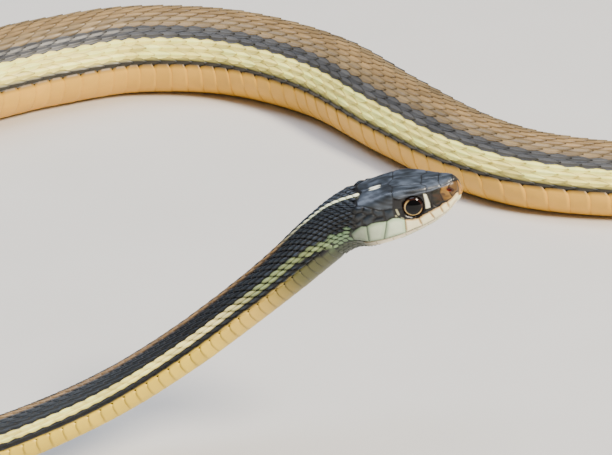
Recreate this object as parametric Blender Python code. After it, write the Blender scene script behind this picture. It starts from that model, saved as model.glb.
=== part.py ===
"""A ribbon snake, the slim kind of garter snake, life size: it lies in a wide bend with its neck raised.

The snake is one loft along its route, from the snout to the tip of the tail. The head and the lengths
of the body are stretches of that loft, parted by thin gaps. The lower jaw and eyes are parted from the
head.
All sizes here are in millimetres, and MM turns them to metres. +X is to the right, +Z is up.
"""

import math

import bmesh
import bpy
import numpy as np
from mathutils import Matrix, Vector

MM = 0.001
GAP = 0.3  # between two pieces that meet

# Lengths along the snake, from the snout
HEAD_END = 22.0
VENT = 505.0

# The route of the body's middle: x, y, and the height above where it would lie on the floor
CURVE_STEPS = 24  # points of the route for each span between the points below
HEAD_LINE = (0.0, 6.0, 12.0, 17.0)  # the head is straight through these distances behind the snout
HEAD_TURN = -5.0  # degrees to the left, seen from above
HEAD_RISE = 20.5
HEAD_ROLL = 8.0  # degrees, the crown leans to the snake's right
ROLL_FADE = 18.0  # the lean runs out over this length of the neck
SNOUT = (23.1, -0.2, 44.0)
NECK_ROUTE = (
    (3.0, 1.5, 34.6),
    (-2.5, 1.4, 29.6),
    (-9.0, 0.9, 24.2),
    (-18.0, 0.0, 17.3),
    (-28.0, -1.3, 10.9),
    (-38.0, -2.9, 6.1),
    (-48.0, -4.4, 2.4),
    (-57.0, -5.7, 0.4),
)
FLOOR_ROUTE = (
    (-66.0, -6.6),
    (-82.0, -6.1),
    (-99.0, -1.3),
    (-114.0, 9.0),
    (-126.5, 22.5),
    (-133.7, 40.0),
    (-135.5, 58.5),
    (-131.0, 76.0),
    (-120.5, 90.5),
    (-106.0, 101.5),
    (-88.0, 111.2),
    (-70.0, 121.9),
    (-51.0, 133.8),
    (-43.0, 138.3),
    (-29.0, 143.6),
    (-12.0, 142.3),
    (3.5, 132.6),
    (15.5, 117.0),
    (28.0, 102.6),
    (41.5, 95.2),
    (64.0, 92.6),
    (87.0, 93.3),
    (109.0, 90.0),
    (129.0, 79.0),
    (143.0, 61.0),
    (149.5, 39.0),
    (148.0, 16.0),
    (140.0, -5.0),
    (126.0, -22.0),
    (108.0, -33.0),
    (88.0, -37.5),
    (56.0, -35.6),
)
PLACE = (-5.4, -56.4)  # moves the route so that the origin is under the middle

# Half width and half height of the body along the snake
GIRTH_AT = (0, 22, 32, 50, 85, 140, 200, 280, 350, 440, 505, 530, 620, 690, 721)
HALF_WIDTH = (3.6, 3.8, 3.65, 3.55, 3.95, 5.3, 6.8, 7.8, 7.7, 6.7, 5.0, 4.5, 2.8, 1.35, 0.5)
HALF_HEIGHT = (3.6, 4.05, 3.65, 3.5, 3.9, 5.1, 6.4, 7.3, 7.2, 6.2, 4.8, 4.3, 2.7, 1.3, 0.5)
BELLY_FLAT = 0.88  # the flat of the belly lies this share of the half height under the middle
FLAT_SNAP = 0.03  # points of the belly nearer the floor than this lie on it

# The head, by distance behind the snout. Heights are above the line of the mouth.
MOUTH_DROP = 1.7  # the mouth lies this far under the middle line of the neck
STATION = (0.0, 0.35, 1.0, 2.0, 3.5, 5.5, 8.0, 10.5, 13.0, 15.5, 18.0, 20.0, 22.0)
CROWN_HEIGHT = (3.3, 3.8, 4.1, 4.32, 4.66, 5.05, 5.68, 5.85, 5.8, 5.45, 5.6, 5.9, 5.9)
BROW_WIDTH = (0.45, 1.0, 1.5, 1.9, 2.35, 3.0, 3.45, 3.5, 3.75, 3.9, 3.75, 3.5, 3.3)
BROW_HEIGHT = (2.4, 2.8, 3.15, 3.45, 3.95, 4.6, 5.15, 5.2, 4.85, 4.55, 4.35, 4.2, 4.1)
CHEEK_WIDTH = (0.35, 1.2, 1.9, 2.4, 2.85, 3.3, 3.8, 4.25, 4.65, 4.85, 4.5, 4.0, 3.7)
MOUTH_HEIGHT = (1.05, 0.8, 0.45, 0.05, -0.4, -0.73, -0.98, -1.05, -0.95, -0.7, -0.3, -0.1, 0.0)
LIP_WIDTH = (0.3, 1.2, 1.95, 2.6, 3.15, 3.7, 4.15, 4.45, 4.7, 4.8, 4.4, 3.9, 3.6)
CHIN_DEPTH = (0.25, 0.35, 0.45, 0.6, 0.78, 1.0, 1.2, 1.5, 1.75, 2.05, 2.5, 2.7, 2.5)
SECTION_MARKS = (0.0, 0.15, 0.28, 0.41, 0.53, 0.585, 0.64, 0.75, 0.88, 1.0)  # shares round the half section
LIP_STEP = 0.35  # the lower jaw sits this far inside the upper lip
JAW_TIP = 0.5  # and this far behind the snout
BLEND_FROM = 15.0  # the head's section turns to the body's from here to HEAD_END

MOUTH_END = 17.2
EYE_AT = 7.1
EYE_RADIUS = 1.7
EYE_DEPTH = 1.15  # half the eye's thickness, from its middle to the clear cap
EYE_OUT = 3.05  # the eye's middle from the head's middle
EYE_HEIGHT = 2.55
EYE_LOOK = (0.16, 0.12)  # the eyes look this share forward and up
NOSTRIL_AT = 1.5
NOSTRIL_OUT = 2.1
NOSTRIL_HEIGHT = 2.4
NOSTRIL_RADIUS = 0.33

TAIL_END = 719.1
LENGTHS = (
    ("neck", 22.0, 68.0),
    ("forebody_1", 68.0, 122.0),
    ("forebody_2", 122.0, 180.0),
    ("midbody_1", 180.0, 240.0),
    ("midbody_2", 240.0, 300.0),
    ("midbody_3", 300.0, 366.0),
    ("hindbody_1", 366.0, 436.0),
    ("hindbody_2", 436.0, 505.0),
    ("tail_1", 505.0, 568.0),
    ("tail_2", 568.0, 634.0),
    ("tail_3", 634.0, TAIL_END + GAP / 2),
)
BODY_SIDES = 16
TAIL_SIDES = 14
HEAD_SIDES = 36
EYE_SIDES = 20
NOSTRIL_SIDES = 10
HEAD_STEP = 0.8
SNOUT_PLACES = (0.02, 0.12, 0.3, 0.6, 1.0, 1.45)
MOUTH_STEPS = 24
MOUTH_REACH = 9.0  # the blocks that part the jaw from the head reach this far beside and under it
MOUTH_LEAD = 3.0  # and this far ahead of the snout

# The belly plates overlap like tiles: each starts this deep under the edge of the one before it
PLATE_PITCH = ((22.0, 2.2), (121.0, 2.2), (122.0, 6.0), (TAIL_END, 6.0))
PLATE_STEP = 0.16
PLATE_EDGE = 0.15  # the rear edge's slope, along the body
PLATE_SIDE = (0.5, 0.6)  # the step grows over this stretch of the half section, down the flank

# Plates of the head's left half: corners as (distance behind the snout, share round the half section),
# in the order front upper, front lower, rear lower, rear upper. A share of 0 is the crown's middle line.
CROWN_PLATES = (
    ((0.55, 0.0), (0.5, 0.2), (2.0, 0.225), (2.2, 0.0)),
    ((2.2, 0.0), (2.1, 0.285), (4.6, 0.31), (5.4, 0.0)),
    ((5.4, 0.088), (4.75, 0.29), (9.4, 0.285), (9.4, 0.055)),
    ((9.4, 0.0), (9.6, 0.345), (13.2, 0.3), (15.3, 0.0)),
)
FRONTAL_PLATE = ((5.4, -0.088), (5.4, 0.088), (9.4, 0.055), (9.4, -0.055))
FACE_PLATES = (
    ((0.6, 0.24), (0.6, 0.45), (2.3, 0.44), (2.4, 0.29)),
    ((2.45, 0.31), (2.4, 0.44), (4.2, 0.47), (4.2, 0.33)),
    ((10.1, 0.35), (9.9, 0.445), (12.6, 0.425), (12.4, 0.325)),
    ((12.7, 0.315), (13.0, 0.43), (15.6, 0.42), (15.3, 0.24)),
)
LIP_SEAMS = (0.5, 1.9, 3.05, 4.55, 6.5, 9.0, 12.0, 14.7, 17.1)
LIP_TOPS = (0.46, 0.475, 0.48, 0.5, 0.515, 0.48, 0.445, 0.445, 0.5)
LIP_EDGE = 0.583
JAW_SEAMS = (0.7, 1.9, 3.1, 4.6, 6.3, 8.3, 10.8, 13.6, 16.6)
JAW_PLATES = (0.64, 0.735)  # the lower lip's plates lie between these shares of the half section
CHIN_SEAMS = (2.0, 5.4, 9.6)
CHIN_PLATES = (0.76, 0.985)
PLATE_LIFT = 0.13
PLATE_ROOT = 0.45
PLATE_SEAM = 0.1  # from a plate's edge to the line between two plates
PLATE_GRAIN = 1.5  # the longest step between points of a plate

SNAKE = "garter_snake"
CUTTERS = "cutters"  # holds cutters and plates, and each piece until it is finished
# Colour and roughness by the first word of the piece's name, from the black nape to the tan hind body
SKIN = {
    "head": ((0.03, 0.036, 0.045), 0.35),
    "lower": ((0.78, 0.66, 0.42), 0.4),
    "eye": ((0.01, 0.008, 0.007), 0.05),
    "neck": ((0.03, 0.032, 0.03), 0.45),
    "forebody": ((0.09, 0.08, 0.06), 0.45),
    "midbody": ((0.3, 0.24, 0.16), 0.45),
    "hindbody": ((0.3, 0.24, 0.16), 0.45),
    "tail": ((0.24, 0.2, 0.14), 0.45),
}


def smooth_curve(points, share):
    """Points of a Catmull-Rom curve through points, share of them for each span."""
    points = np.array(points, float)
    padded = np.vstack([2 * points[0] - points[1], points, 2 * points[-1] - points[-2]])
    out = []
    for i in range(len(points) - 1):
        a, b, c, d = padded[i : i + 4]
        for t in np.arange(share) / share:
            bend = (2 * a - 5 * b + 4 * c - d) * t**2 + (3 * b - a - 3 * c + d) * t**3
            out.append(0.5 * (2 * b + (c - a) * t + bend))
    out.append(points[-1])
    return np.array(out)


def soft(at, places, values):
    """A smooth value between named stations."""
    places, values = np.array(places, float), np.array(values, float)
    slope = np.gradient(values, places)
    i = int(np.clip(np.searchsorted(places, at) - 1, 0, len(places) - 2))
    span = places[i + 1] - places[i]
    t = np.clip((at - places[i]) / span, 0.0, 1.0)
    rise = 3 * t**2 - 2 * t**3
    lead = (t**3 - 2 * t**2 + t) * span * slope[i] + (t**3 - t**2) * span * slope[i + 1]
    return values[i] * (1 - rise) + values[i + 1] * rise + lead


def head_forward():
    turn, rise = math.radians(HEAD_TURN), math.radians(HEAD_RISE)
    return np.array([math.cos(turn) * math.cos(rise), math.sin(turn) * math.cos(rise), math.sin(rise)])


def route():
    """The middle line of the whole snake, and the distance of each of its points from the snout."""
    snout, forward = np.array(SNOUT), head_forward()
    head = [snout - forward * d for d in HEAD_LINE]
    line = smooth_curve(head + list(NECK_ROUTE) + [(x, y, 0.0) for x, y in FLOOR_ROUTE], CURVE_STEPS)
    far = np.r_[0.0, np.cumsum(np.linalg.norm(np.diff(line, axis=0), axis=1))]
    for i, distance in enumerate(far):
        line[i, 2] += BELLY_FLAT * soft(distance, GIRTH_AT, HALF_HEIGHT)
    line[:, :2] += PLACE
    far = np.r_[0.0, np.cumsum(np.linalg.norm(np.diff(line, axis=0), axis=1))]
    return line, far


LINE, FAR = route()
TOTAL = FAR[-1]


def middle(at):
    return np.array([np.interp(at, FAR, LINE[:, k]) for k in range(3)])


def frame(at):
    """The middle, and the directions forward, left and up of the snake at a distance from the snout."""
    reach = 1.2
    forward = middle(max(at - reach, 0.0)) - middle(min(at + reach, TOTAL))
    forward /= np.linalg.norm(forward)
    left = np.cross((0.0, 0.0, 1.0), forward)
    left /= np.linalg.norm(left)
    up = np.cross(forward, left)
    lean = math.radians(HEAD_ROLL) * (1.0 - np.clip((at - HEAD_END) / ROLL_FADE, 0.0, 1.0))
    turned_left = left * math.cos(lean) + up * math.sin(lean)
    return middle(at), forward, turned_left, np.cross(forward, turned_left)


def body_half(at, t):
    """The body's half section: t runs from 0 at the back to 1 at the belly."""
    wide, high = soft(at, GIRTH_AT, HALF_WIDTH), soft(at, GIRTH_AT, HALF_HEIGHT)
    return np.stack(
        [wide * np.sin(np.pi * t), np.maximum(high * np.cos(np.pi * t), -BELLY_FLAT * high)], axis=1
    )


def head_half(at, t):
    """The head's half section through its crown, brow, cheek, lips and chin."""
    crown, brow, brow_up, cheek, lip, chin = (
        soft(at, STATION, values)
        for values in (CROWN_HEIGHT, BROW_WIDTH, BROW_HEIGHT, CHEEK_WIDTH, LIP_WIDTH, CHIN_DEPTH)
    )
    mouth = soft(at, STATION, MOUTH_HEIGHT)
    side = brow_up - mouth
    step = LIP_STEP * min(1.0, lip / 2.0)
    shoulder = 0.5 * (brow + cheek) + 0.1
    across = (0, 0.6 * brow, brow, shoulder, lip, lip, lip - step, 0.88 * lip - step, 0.5 * lip, 0)
    top = (crown, crown - 0.22 * (crown - brow_up), brow_up, mouth + 0.55 * side, mouth + 0.22 * side)
    under = tuple(mouth - depth * chin for depth in (0.0, 0.16, 0.68, 0.97, 1.0))
    height = top + under
    sides, levels = curve_at(t, SECTION_MARKS, across), curve_at(t, SECTION_MARKS, height)
    return np.stack([sides, levels - MOUTH_DROP], axis=1)


def curve_at(t, marks, values):
    return np.array([soft(x, marks, values) for x in t])


def half_section(at, t):
    if at >= HEAD_END:
        return body_half(at, t)
    share = np.clip((at - BLEND_FROM) / (HEAD_END - BLEND_FROM), 0.0, 1.0)
    share = share * share * (3 - 2 * share)
    return head_half(at, t) * (1 - share) + body_half(at, t) * share


def ring(at, sides, sunk=0.0):
    """The closed section at a distance from the snout, with its belly sunk by this much."""
    t = np.linspace(0.0, 1.0, sides // 2 + 1)
    half = half_section(at, t)
    here, _, left, up = frame(at)
    if sunk:
        grow = np.clip((t - PLATE_SIDE[0]) / (PLATE_SIDE[1] - PLATE_SIDE[0]), 0.0, 1.0)
        on_floor = here[2] + half[:, 1] * up[2] < FLAT_SNAP
        half = half * (1.0 - np.where(on_floor, 0.0, sunk * grow) / np.linalg.norm(half, axis=1))[:, None]
    section = np.vstack([half, half[-2:0:-1] * (-1.0, 1.0)])
    points = here + section[:, :1] * left + section[:, 1:] * up
    points[points[:, 2] < FLAT_SNAP, 2] = 0.0
    return points


def join_rings(mesh, rings):
    """Faces between rings of points, and over both ends."""
    sides = len(rings[0])
    for front, back in zip(rings, rings[1:]):
        for i in range(sides):
            j = (i + 1) % sides
            mesh.faces.new((front[i], front[j], back[j], back[i]))
    mesh.faces.new(rings[0][::-1])
    mesh.faces.new(rings[-1])
    bmesh.ops.triangulate(mesh, faces=[f for f in mesh.faces if len(f.verts) > 4])
    bmesh.ops.recalc_face_normals(mesh, faces=mesh.faces)


def loft(name, places, sides, sinks=None):
    """A closed body through the sections at these places."""
    mesh = bmesh.new()
    sinks = np.zeros(len(places)) if sinks is None else sinks
    rows = []
    for at, sunk in zip(places, sinks):
        rows.append([mesh.verts.new(Vector(point * MM)) for point in ring(at, sides, sunk)])
    join_rings(mesh, rows)
    return finished(name, mesh)


def finished(name, mesh):
    data = bpy.data.meshes.new(name)
    mesh.to_mesh(data)
    mesh.free()
    data.shade_smooth()
    data.set_sharp_from_angle(angle=math.radians(40))
    made = bpy.data.objects.new(name, data)
    collection(CUTTERS).objects.link(made)
    return made


def collection(name):
    if name not in bpy.data.collections:
        bpy.context.scene.collection.children.link(bpy.data.collections.new(name))
    return bpy.data.collections[name]


def finish(piece):
    """Moves a finished piece to the snake's collection and gives it its own material."""
    collection(CUTTERS).objects.unlink(piece)
    collection(SNAKE).objects.link(piece)
    colour, roughness = SKIN[piece.name.split("_")[0]]
    made = bpy.data.materials.new(piece.name + " skin")
    made.use_nodes = True
    shader = made.node_tree.nodes["Principled BSDF"]
    shader.inputs["Base Color"].default_value = (*colour, 1.0)
    shader.inputs["Roughness"].default_value = roughness
    shader.inputs["Metallic"].default_value = 0.0
    piece.data.materials.append(made)


def head_point(at, out, height):
    """A point in the head: behind the snout, to the left, and above the mouth."""
    here, _, left, up = frame(at)
    return here + left * out + up * (height - MOUTH_DROP)


def ball(name, at, out, height, radii, segments):
    """A ball or a flattened one in the head, whose short axis points out of it."""
    here, forward, left, up = frame(at)
    side = math.copysign(1.0, out)
    look = side * left + EYE_LOOK[0] * forward + EYE_LOOK[1] * up
    look /= np.linalg.norm(look)
    across = np.cross(look, up)
    across /= np.linalg.norm(across)
    turn = Matrix([across, np.cross(look, across), look]).transposed().to_4x4()
    mesh = bmesh.new()
    bmesh.ops.create_uvsphere(mesh, u_segments=segments, v_segments=segments // 2, radius=1.0)
    bmesh.ops.scale(mesh, verts=mesh.verts, vec=Vector((radii[0], radii[0], radii[1])) * MM)
    bmesh.ops.transform(mesh, verts=mesh.verts, matrix=turn)
    bmesh.ops.translate(mesh, verts=mesh.verts, vec=Vector(head_point(at, out, height) * MM))
    bmesh.ops.recalc_face_normals(mesh, faces=mesh.faces)
    return finished(name, mesh)


def mouth_block(name, lift, front, behind):
    """A block of all that lies under the line of the mouth, which is raised or lowered by lift."""
    places = np.linspace(front, behind, MOUTH_STEPS)
    mesh = bmesh.new()
    rows = []
    for at in places:
        level = soft(max(at, 0.0), STATION, MOUTH_HEIGHT) + lift
        here, forward, left, up = frame(max(at, 0.0))
        here = here + forward * max(-at, 0.0)
        wide, deep = MOUTH_REACH, -MOUTH_REACH
        corners = ((-wide, level), (wide, level), (wide, deep), (-wide, deep))
        row = [here + left * out + up * (high - MOUTH_DROP) for out, high in corners]
        rows.append([mesh.verts.new(Vector(point * MM)) for point in row])
    join_rings(mesh, rows)
    return finished(name, mesh)


def cut(piece, cutter, operation="DIFFERENCE"):
    change = piece.modifiers.new(operation.lower(), "BOOLEAN")
    change.operation = operation
    change.object = cutter
    change.solver = "MANIFOLD"  # EXACT leaves open edges where the head's plates meet the cut
    with bpy.context.temp_override(object=piece, active_object=piece):
        bpy.ops.object.modifier_apply(modifier=change.name)


def drop(*objects):
    for piece in objects:
        bpy.data.objects.remove(piece, do_unlink=True)


def head_places():
    """Sections crowd towards the snout, where the outline turns fastest."""
    return list(SNOUT_PLACES) + list(np.arange(2.0, HEAD_END - GAP, HEAD_STEP)) + [HEAD_END - GAP / 2]


def skin_point(at, share, lift):
    """A point over the head's surface. A negative share is on the right half."""
    def surface(place, round_share):
        half = half_section(place, np.array([abs(round_share)]))[0]
        here, _, left, up = frame(place)
        return here + left * half[0] * math.copysign(1.0, round_share) + up * half[1]

    reach_at, reach_share = 0.15, 0.01
    along = surface(at + reach_at, share) - surface(max(at - reach_at, 0.0), share)
    around = surface(at, share + reach_share) - surface(at, share - reach_share)
    out = np.cross(around, along)
    return surface(at, share) + lift * out / np.linalg.norm(out)


def plate(corners):
    """A raised plate on the head: a thin closed pad between four corners."""
    (a, b, c, d) = (np.array(corner, float) for corner in corners)
    width = np.linalg.norm(skin_point(*b, 0.0) - skin_point(*a, 0.0))
    width = max(width, np.linalg.norm(skin_point(*c, 0.0) - skin_point(*d, 0.0)))
    length = np.linalg.norm(skin_point(*d, 0.0) - skin_point(*a, 0.0))
    length = max(length, np.linalg.norm(skin_point(*c, 0.0) - skin_point(*b, 0.0)))
    steps = [max(1, math.ceil(size / PLATE_GRAIN)) for size in (width, length)]
    mesh = bmesh.new()

    def sheet(lift, margin):
        edge = [margin / size for size in (width, length)]
        rows = []
        for v in np.linspace(edge[1], 1.0 - edge[1], steps[1] + 1):
            upper, lower = (1 - v) * a + v * d, (1 - v) * b + v * c
            shares = np.linspace(edge[0], 1.0 - edge[0], steps[0] + 1)
            row = [(1 - u) * upper + u * lower for u in shares]
            rows.append([mesh.verts.new(Vector(skin_point(*place, lift) * MM)) for place in row])
        return rows

    top, root = sheet(PLATE_LIFT, PLATE_SEAM), sheet(-PLATE_ROOT, PLATE_SEAM / 2)
    for rows in (top, root):
        for near, far in zip(rows, rows[1:]):
            for i in range(steps[0]):
                mesh.faces.new((near[i], near[i + 1], far[i + 1]))
                mesh.faces.new((near[i], far[i + 1], far[i]))
    rims = [rows[0] + [row[-1] for row in rows[1:-1]] + rows[-1][::-1] + [row[0] for row in rows[-2:0:-1]]
            for rows in (top, root)]
    for i in range(len(rims[0])):
        j = (i + 1) % len(rims[0])
        mesh.faces.new((rims[0][i], rims[0][j], rims[1][j], rims[1][i]))
    bmesh.ops.recalc_face_normals(mesh, faces=mesh.faces)
    return finished("plate", mesh)


def both_sides(corners):
    return [corners, tuple((at, -share) for at, share in corners)]


def lip_plates():
    plates = []
    tops = list(zip(LIP_SEAMS, LIP_TOPS))
    for front, rear in zip(tops, tops[1:]):
        plates += both_sides((front, (front[0], LIP_EDGE), (rear[0], LIP_EDGE), rear))
    return plates


def jaw_plates():
    plates = []
    for seams, (upper, lower) in ((JAW_SEAMS, JAW_PLATES), (CHIN_SEAMS, CHIN_PLATES)):
        for front, rear in zip(seams, seams[1:]):
            plates += both_sides(((front, upper), (front, lower), (rear, lower), (rear, upper)))
    return plates


def add_plates(piece, outlines):
    """Fuses plates with a piece, and keeps its largest closed surface."""
    group = bpy.data.collections.new("plates")
    for outline in outlines:
        group.objects.link(plate(outline))
    change = piece.modifiers.new("plates", "BOOLEAN")
    change.operation = "UNION"
    change.operand_type = "COLLECTION"
    change.collection = group
    change.solver = "MANIFOLD"
    with bpy.context.temp_override(object=piece, active_object=piece):
        bpy.ops.object.modifier_apply(modifier=change.name)
    drop(*group.objects)
    bpy.data.collections.remove(group)
    keep_largest(piece)


def keep_largest(piece):
    mesh = bmesh.new()
    mesh.from_mesh(piece.data)
    waiting = set(mesh.verts)
    shells = []
    while waiting:
        shell, edge = set(), {waiting.pop()}
        while edge:
            shell |= edge
            edge = {e.other_vert(v) for v in edge for e in v.link_edges} - shell
        waiting -= shell
        shells.append(shell)
    largest = max(shells, key=len)
    bmesh.ops.delete(mesh, geom=[v for v in mesh.verts if v not in largest], context="VERTS")
    mesh.to_mesh(piece.data)
    mesh.free()


def make_head():
    whole = loft("head", head_places(), HEAD_SIDES)
    crown = [corners for outline in CROWN_PLATES + FACE_PLATES for corners in both_sides(outline)]
    add_plates(whole, crown + [FRONTAL_PLATE] + lip_plates())
    jaw = loft("lower_jaw", head_places(), HEAD_SIDES)
    add_plates(jaw, jaw_plates())
    below = mouth_block("below", GAP / 2, -MOUTH_LEAD, MOUTH_END + GAP / 2)
    cut(whole, below)
    under = mouth_block("under", -GAP / 2, JAW_TIP, MOUTH_END - GAP / 2)
    cut(jaw, under, "INTERSECT")
    drop(below, under)
    for side, name in ((1, "eye_left"), (-1, "eye_right")):
        place = (EYE_AT, side * EYE_OUT, EYE_HEIGHT)
        socket = ball("socket", *place, (EYE_RADIUS + GAP, EYE_DEPTH + GAP), EYE_SIDES)
        cut(whole, socket)
        hole = (NOSTRIL_AT, side * NOSTRIL_OUT, NOSTRIL_HEIGHT)
        nostril = ball("nostril", *hole, (NOSTRIL_RADIUS, NOSTRIL_RADIUS), NOSTRIL_SIDES)
        cut(whole, nostril)
        drop(socket, nostril)
        finish(ball(name, *place, (EYE_RADIUS, EYE_DEPTH), EYE_SIDES))
    for piece in (whole, jaw):
        keep_largest(piece)
        finish(piece)


def tiled_places(start, end):
    """Sections of a length with overlapping belly plates, and how deep each is sunk: the fronts are."""
    places, sinks = [start], [PLATE_STEP]
    while True:
        pitch = np.interp(places[-1], *zip(*PLATE_PITCH))
        rear = places[-1] + pitch
        if rear > end - 0.5 * pitch:
            return places + [end], sinks + [0.0]
        places += [rear - PLATE_EDGE, rear]
        sinks += [0.0, PLATE_STEP]


def make_body():
    for name, start, end in LENGTHS:
        sides = TAIL_SIDES if name.startswith("tail") else BODY_SIDES
        places, sinks = tiled_places(start + GAP / 2, end - GAP / 2)
        finish(loft(name, places, sides, sinks))


def main():
    for old in list(bpy.data.objects):
        bpy.data.objects.remove(old, do_unlink=True)
    make_head()
    make_body()


main()
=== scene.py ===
"""A ribbon snake, the slim kind of garter snake, dressed for a museum case: skin, scales, plates and eyes.

The route and the girth repeat the solids' own named sizes, in millimetres, so every scale sits on its length
of the body. Distances along the snake count from the snout. A share of the half section is 0 on the back
and 1 on the belly, positive on the snake's left and negative on its right.
"""

import math

import bpy
import numpy as np
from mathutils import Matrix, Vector


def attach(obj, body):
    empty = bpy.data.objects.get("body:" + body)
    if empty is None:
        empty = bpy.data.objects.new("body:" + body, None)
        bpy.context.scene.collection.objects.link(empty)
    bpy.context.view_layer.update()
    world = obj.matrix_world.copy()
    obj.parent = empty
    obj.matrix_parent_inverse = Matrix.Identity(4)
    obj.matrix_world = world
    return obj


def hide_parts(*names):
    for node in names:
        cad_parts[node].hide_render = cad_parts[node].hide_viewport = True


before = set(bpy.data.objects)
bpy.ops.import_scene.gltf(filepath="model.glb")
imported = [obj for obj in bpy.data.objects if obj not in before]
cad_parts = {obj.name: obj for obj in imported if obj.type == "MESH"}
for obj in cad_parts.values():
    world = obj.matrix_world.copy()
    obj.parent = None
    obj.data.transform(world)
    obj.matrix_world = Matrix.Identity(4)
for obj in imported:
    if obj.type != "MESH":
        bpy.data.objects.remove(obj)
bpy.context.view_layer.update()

MM = 0.001

# The route of the body's middle, as in the solids
HEAD_END = 22.0
VENT = 505.0
TAIL_END = 719.1
CURVE_STEPS = 24  # points of the route for each span between the points below
HEAD_LINE = (0.0, 6.0, 12.0, 17.0)  # the head is straight through these distances behind the snout
HEAD_TURN = -5.0
HEAD_RISE = 20.5
HEAD_ROLL = 8.0
ROLL_FADE = 18.0  # the lean runs out over this length of the neck
SNOUT = (23.1, -0.2, 44.0)
NECK_ROUTE = (
    (3.0, 1.5, 34.6), (-2.5, 1.4, 29.6), (-9.0, 0.9, 24.2), (-18.0, 0.0, 17.3),
    (-28.0, -1.3, 10.9), (-38.0, -2.9, 6.1), (-48.0, -4.4, 2.4), (-57.0, -5.7, 0.4),
)
FLOOR_ROUTE = (
    (-66.0, -6.6), (-82.0, -6.1), (-99.0, -1.3), (-114.0, 9.0), (-126.5, 22.5), (-133.7, 40.0),
    (-135.5, 58.5), (-131.0, 76.0), (-120.5, 90.5), (-106.0, 101.5), (-88.0, 111.2), (-70.0, 121.9),
    (-51.0, 133.8), (-43.0, 138.3), (-29.0, 143.6), (-12.0, 142.3), (3.5, 132.6), (15.5, 117.0),
    (28.0, 102.6), (41.5, 95.2), (64.0, 92.6), (87.0, 93.3), (109.0, 90.0), (129.0, 79.0),
    (143.0, 61.0), (149.5, 39.0), (148.0, 16.0), (140.0, -5.0), (126.0, -22.0), (108.0, -33.0),
    (88.0, -37.5), (56.0, -35.6),
)
PLACE = (-5.4, -56.4)

# Half width and half height of the body along the snake
GIRTH_AT = (0.0, 22.0, 32.0, 50.0, 85.0, 140.0, 200.0, 280.0, 350.0, 440.0, 505.0, 530.0, 620.0, 690.0, 721.0)
HALF_WIDTH = (3.6, 3.8, 3.65, 3.55, 3.95, 5.3, 6.8, 7.8, 7.7, 6.7, 5.0, 4.5, 2.8, 1.35, 0.5)
HALF_HEIGHT = (3.6, 4.05, 3.65, 3.5, 3.9, 5.1, 6.4, 7.3, 7.2, 6.2, 4.8, 4.3, 2.7, 1.3, 0.5)
BELLY_FLAT = 0.88

# The head's section by distance behind the snout, with heights over the line of the mouth's plane
MOUTH_DROP = 1.7
STATION = (0.0, 0.35, 1.0, 2.0, 3.5, 5.5, 8.0, 10.5, 13.0, 15.5, 18.0, 20.0, 22.0)
CROWN_HEIGHT = (3.3, 3.8, 4.1, 4.32, 4.66, 5.05, 5.68, 5.85, 5.8, 5.45, 5.6, 5.9, 5.9)
BROW_WIDTH = (0.45, 1.0, 1.5, 1.9, 2.35, 3.0, 3.45, 3.5, 3.75, 3.9, 3.75, 3.5, 3.3)
BROW_HEIGHT = (2.4, 2.8, 3.15, 3.45, 3.95, 4.6, 5.15, 5.2, 4.85, 4.55, 4.35, 4.2, 4.1)
CHEEK_WIDTH = (0.35, 1.2, 1.9, 2.4, 2.85, 3.3, 3.8, 4.25, 4.65, 4.85, 4.5, 4.0, 3.7)
MOUTH_HEIGHT = (1.05, 0.8, 0.45, 0.05, -0.4, -0.73, -0.98, -1.05, -0.95, -0.7, -0.3, -0.1, 0.0)
LIP_WIDTH = (0.3, 1.2, 1.95, 2.6, 3.15, 3.7, 4.15, 4.45, 4.7, 4.8, 4.4, 3.9, 3.6)
CHIN_DEPTH = (0.25, 0.35, 0.45, 0.6, 0.78, 1.0, 1.2, 1.5, 1.75, 2.05, 2.5, 2.7, 2.5)
LIP_STEP = 0.35
SECTION_MARKS = (0.0, 0.15, 0.28, 0.41, 0.53, 0.585, 0.64, 0.75, 0.88, 1.0)
# Between them lie the crown's shoulder, the cheek's fullest place, the lip, and the jaw down to the chin
SHOULDER_WIDTH, SHOULDER_DROP = 0.6, 0.22
CHEEK_OUT, CHEEK_UP, LIP_UP = 0.1, 0.55, 0.22
JAW_WIDTHS = (0.88, 0.5)
JAW_DEPTHS = (0.0, 0.16, 0.68, 0.97, 1.0)
MOUTH_SHARE = 0.588
MOUTH_END = 17.2
BLEND_FROM = 15.0

# The eyes
EYE_AT = 7.1
EYE_RADIUS = 1.7
EYE_DEPTH = 1.15
EYE_OUT = 3.05
EYE_HEIGHT = 2.55
EYE_LOOK = (0.16, 0.12)
EYE_OPENING = 1.6  # radius of the round hole in the skin
IRIS_RING = (1.21, 1.4)  # the gold ring's inner and outer radius

# The camera of the photo: a long lens, 25 degrees above the floor
CAMERA_PLACE = (0.0, -1089.0, 548.1)
CAMERA_DOWN = 25.0
CAMERA_LENS = 470.6
CAMERA_SENSOR = 36.0


def soft(at, places, values):
    """Smooth values between named stations. values may hold one row for each of at."""
    places, values = np.asarray(places, float), np.asarray(values, float)
    slope = np.gradient(values, places, axis=-1)
    at = np.clip(np.asarray(at, float), places[0], places[-1])
    i = np.clip(np.searchsorted(places, at) - 1, 0, len(places) - 2)
    span = places[i + 1] - places[i]
    t = (at - places[i]) / span
    row = () if values.ndim == 1 else (np.arange(len(at)),)
    a, b, m, n = values[(*row, i)], values[(*row, i + 1)], slope[(*row, i)], slope[(*row, i + 1)]
    rise = 3 * t**2 - 2 * t**3
    return a * (1 - rise) + b * rise + (t**3 - 2 * t**2 + t) * span * m + (t**3 - t**2) * span * n


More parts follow.
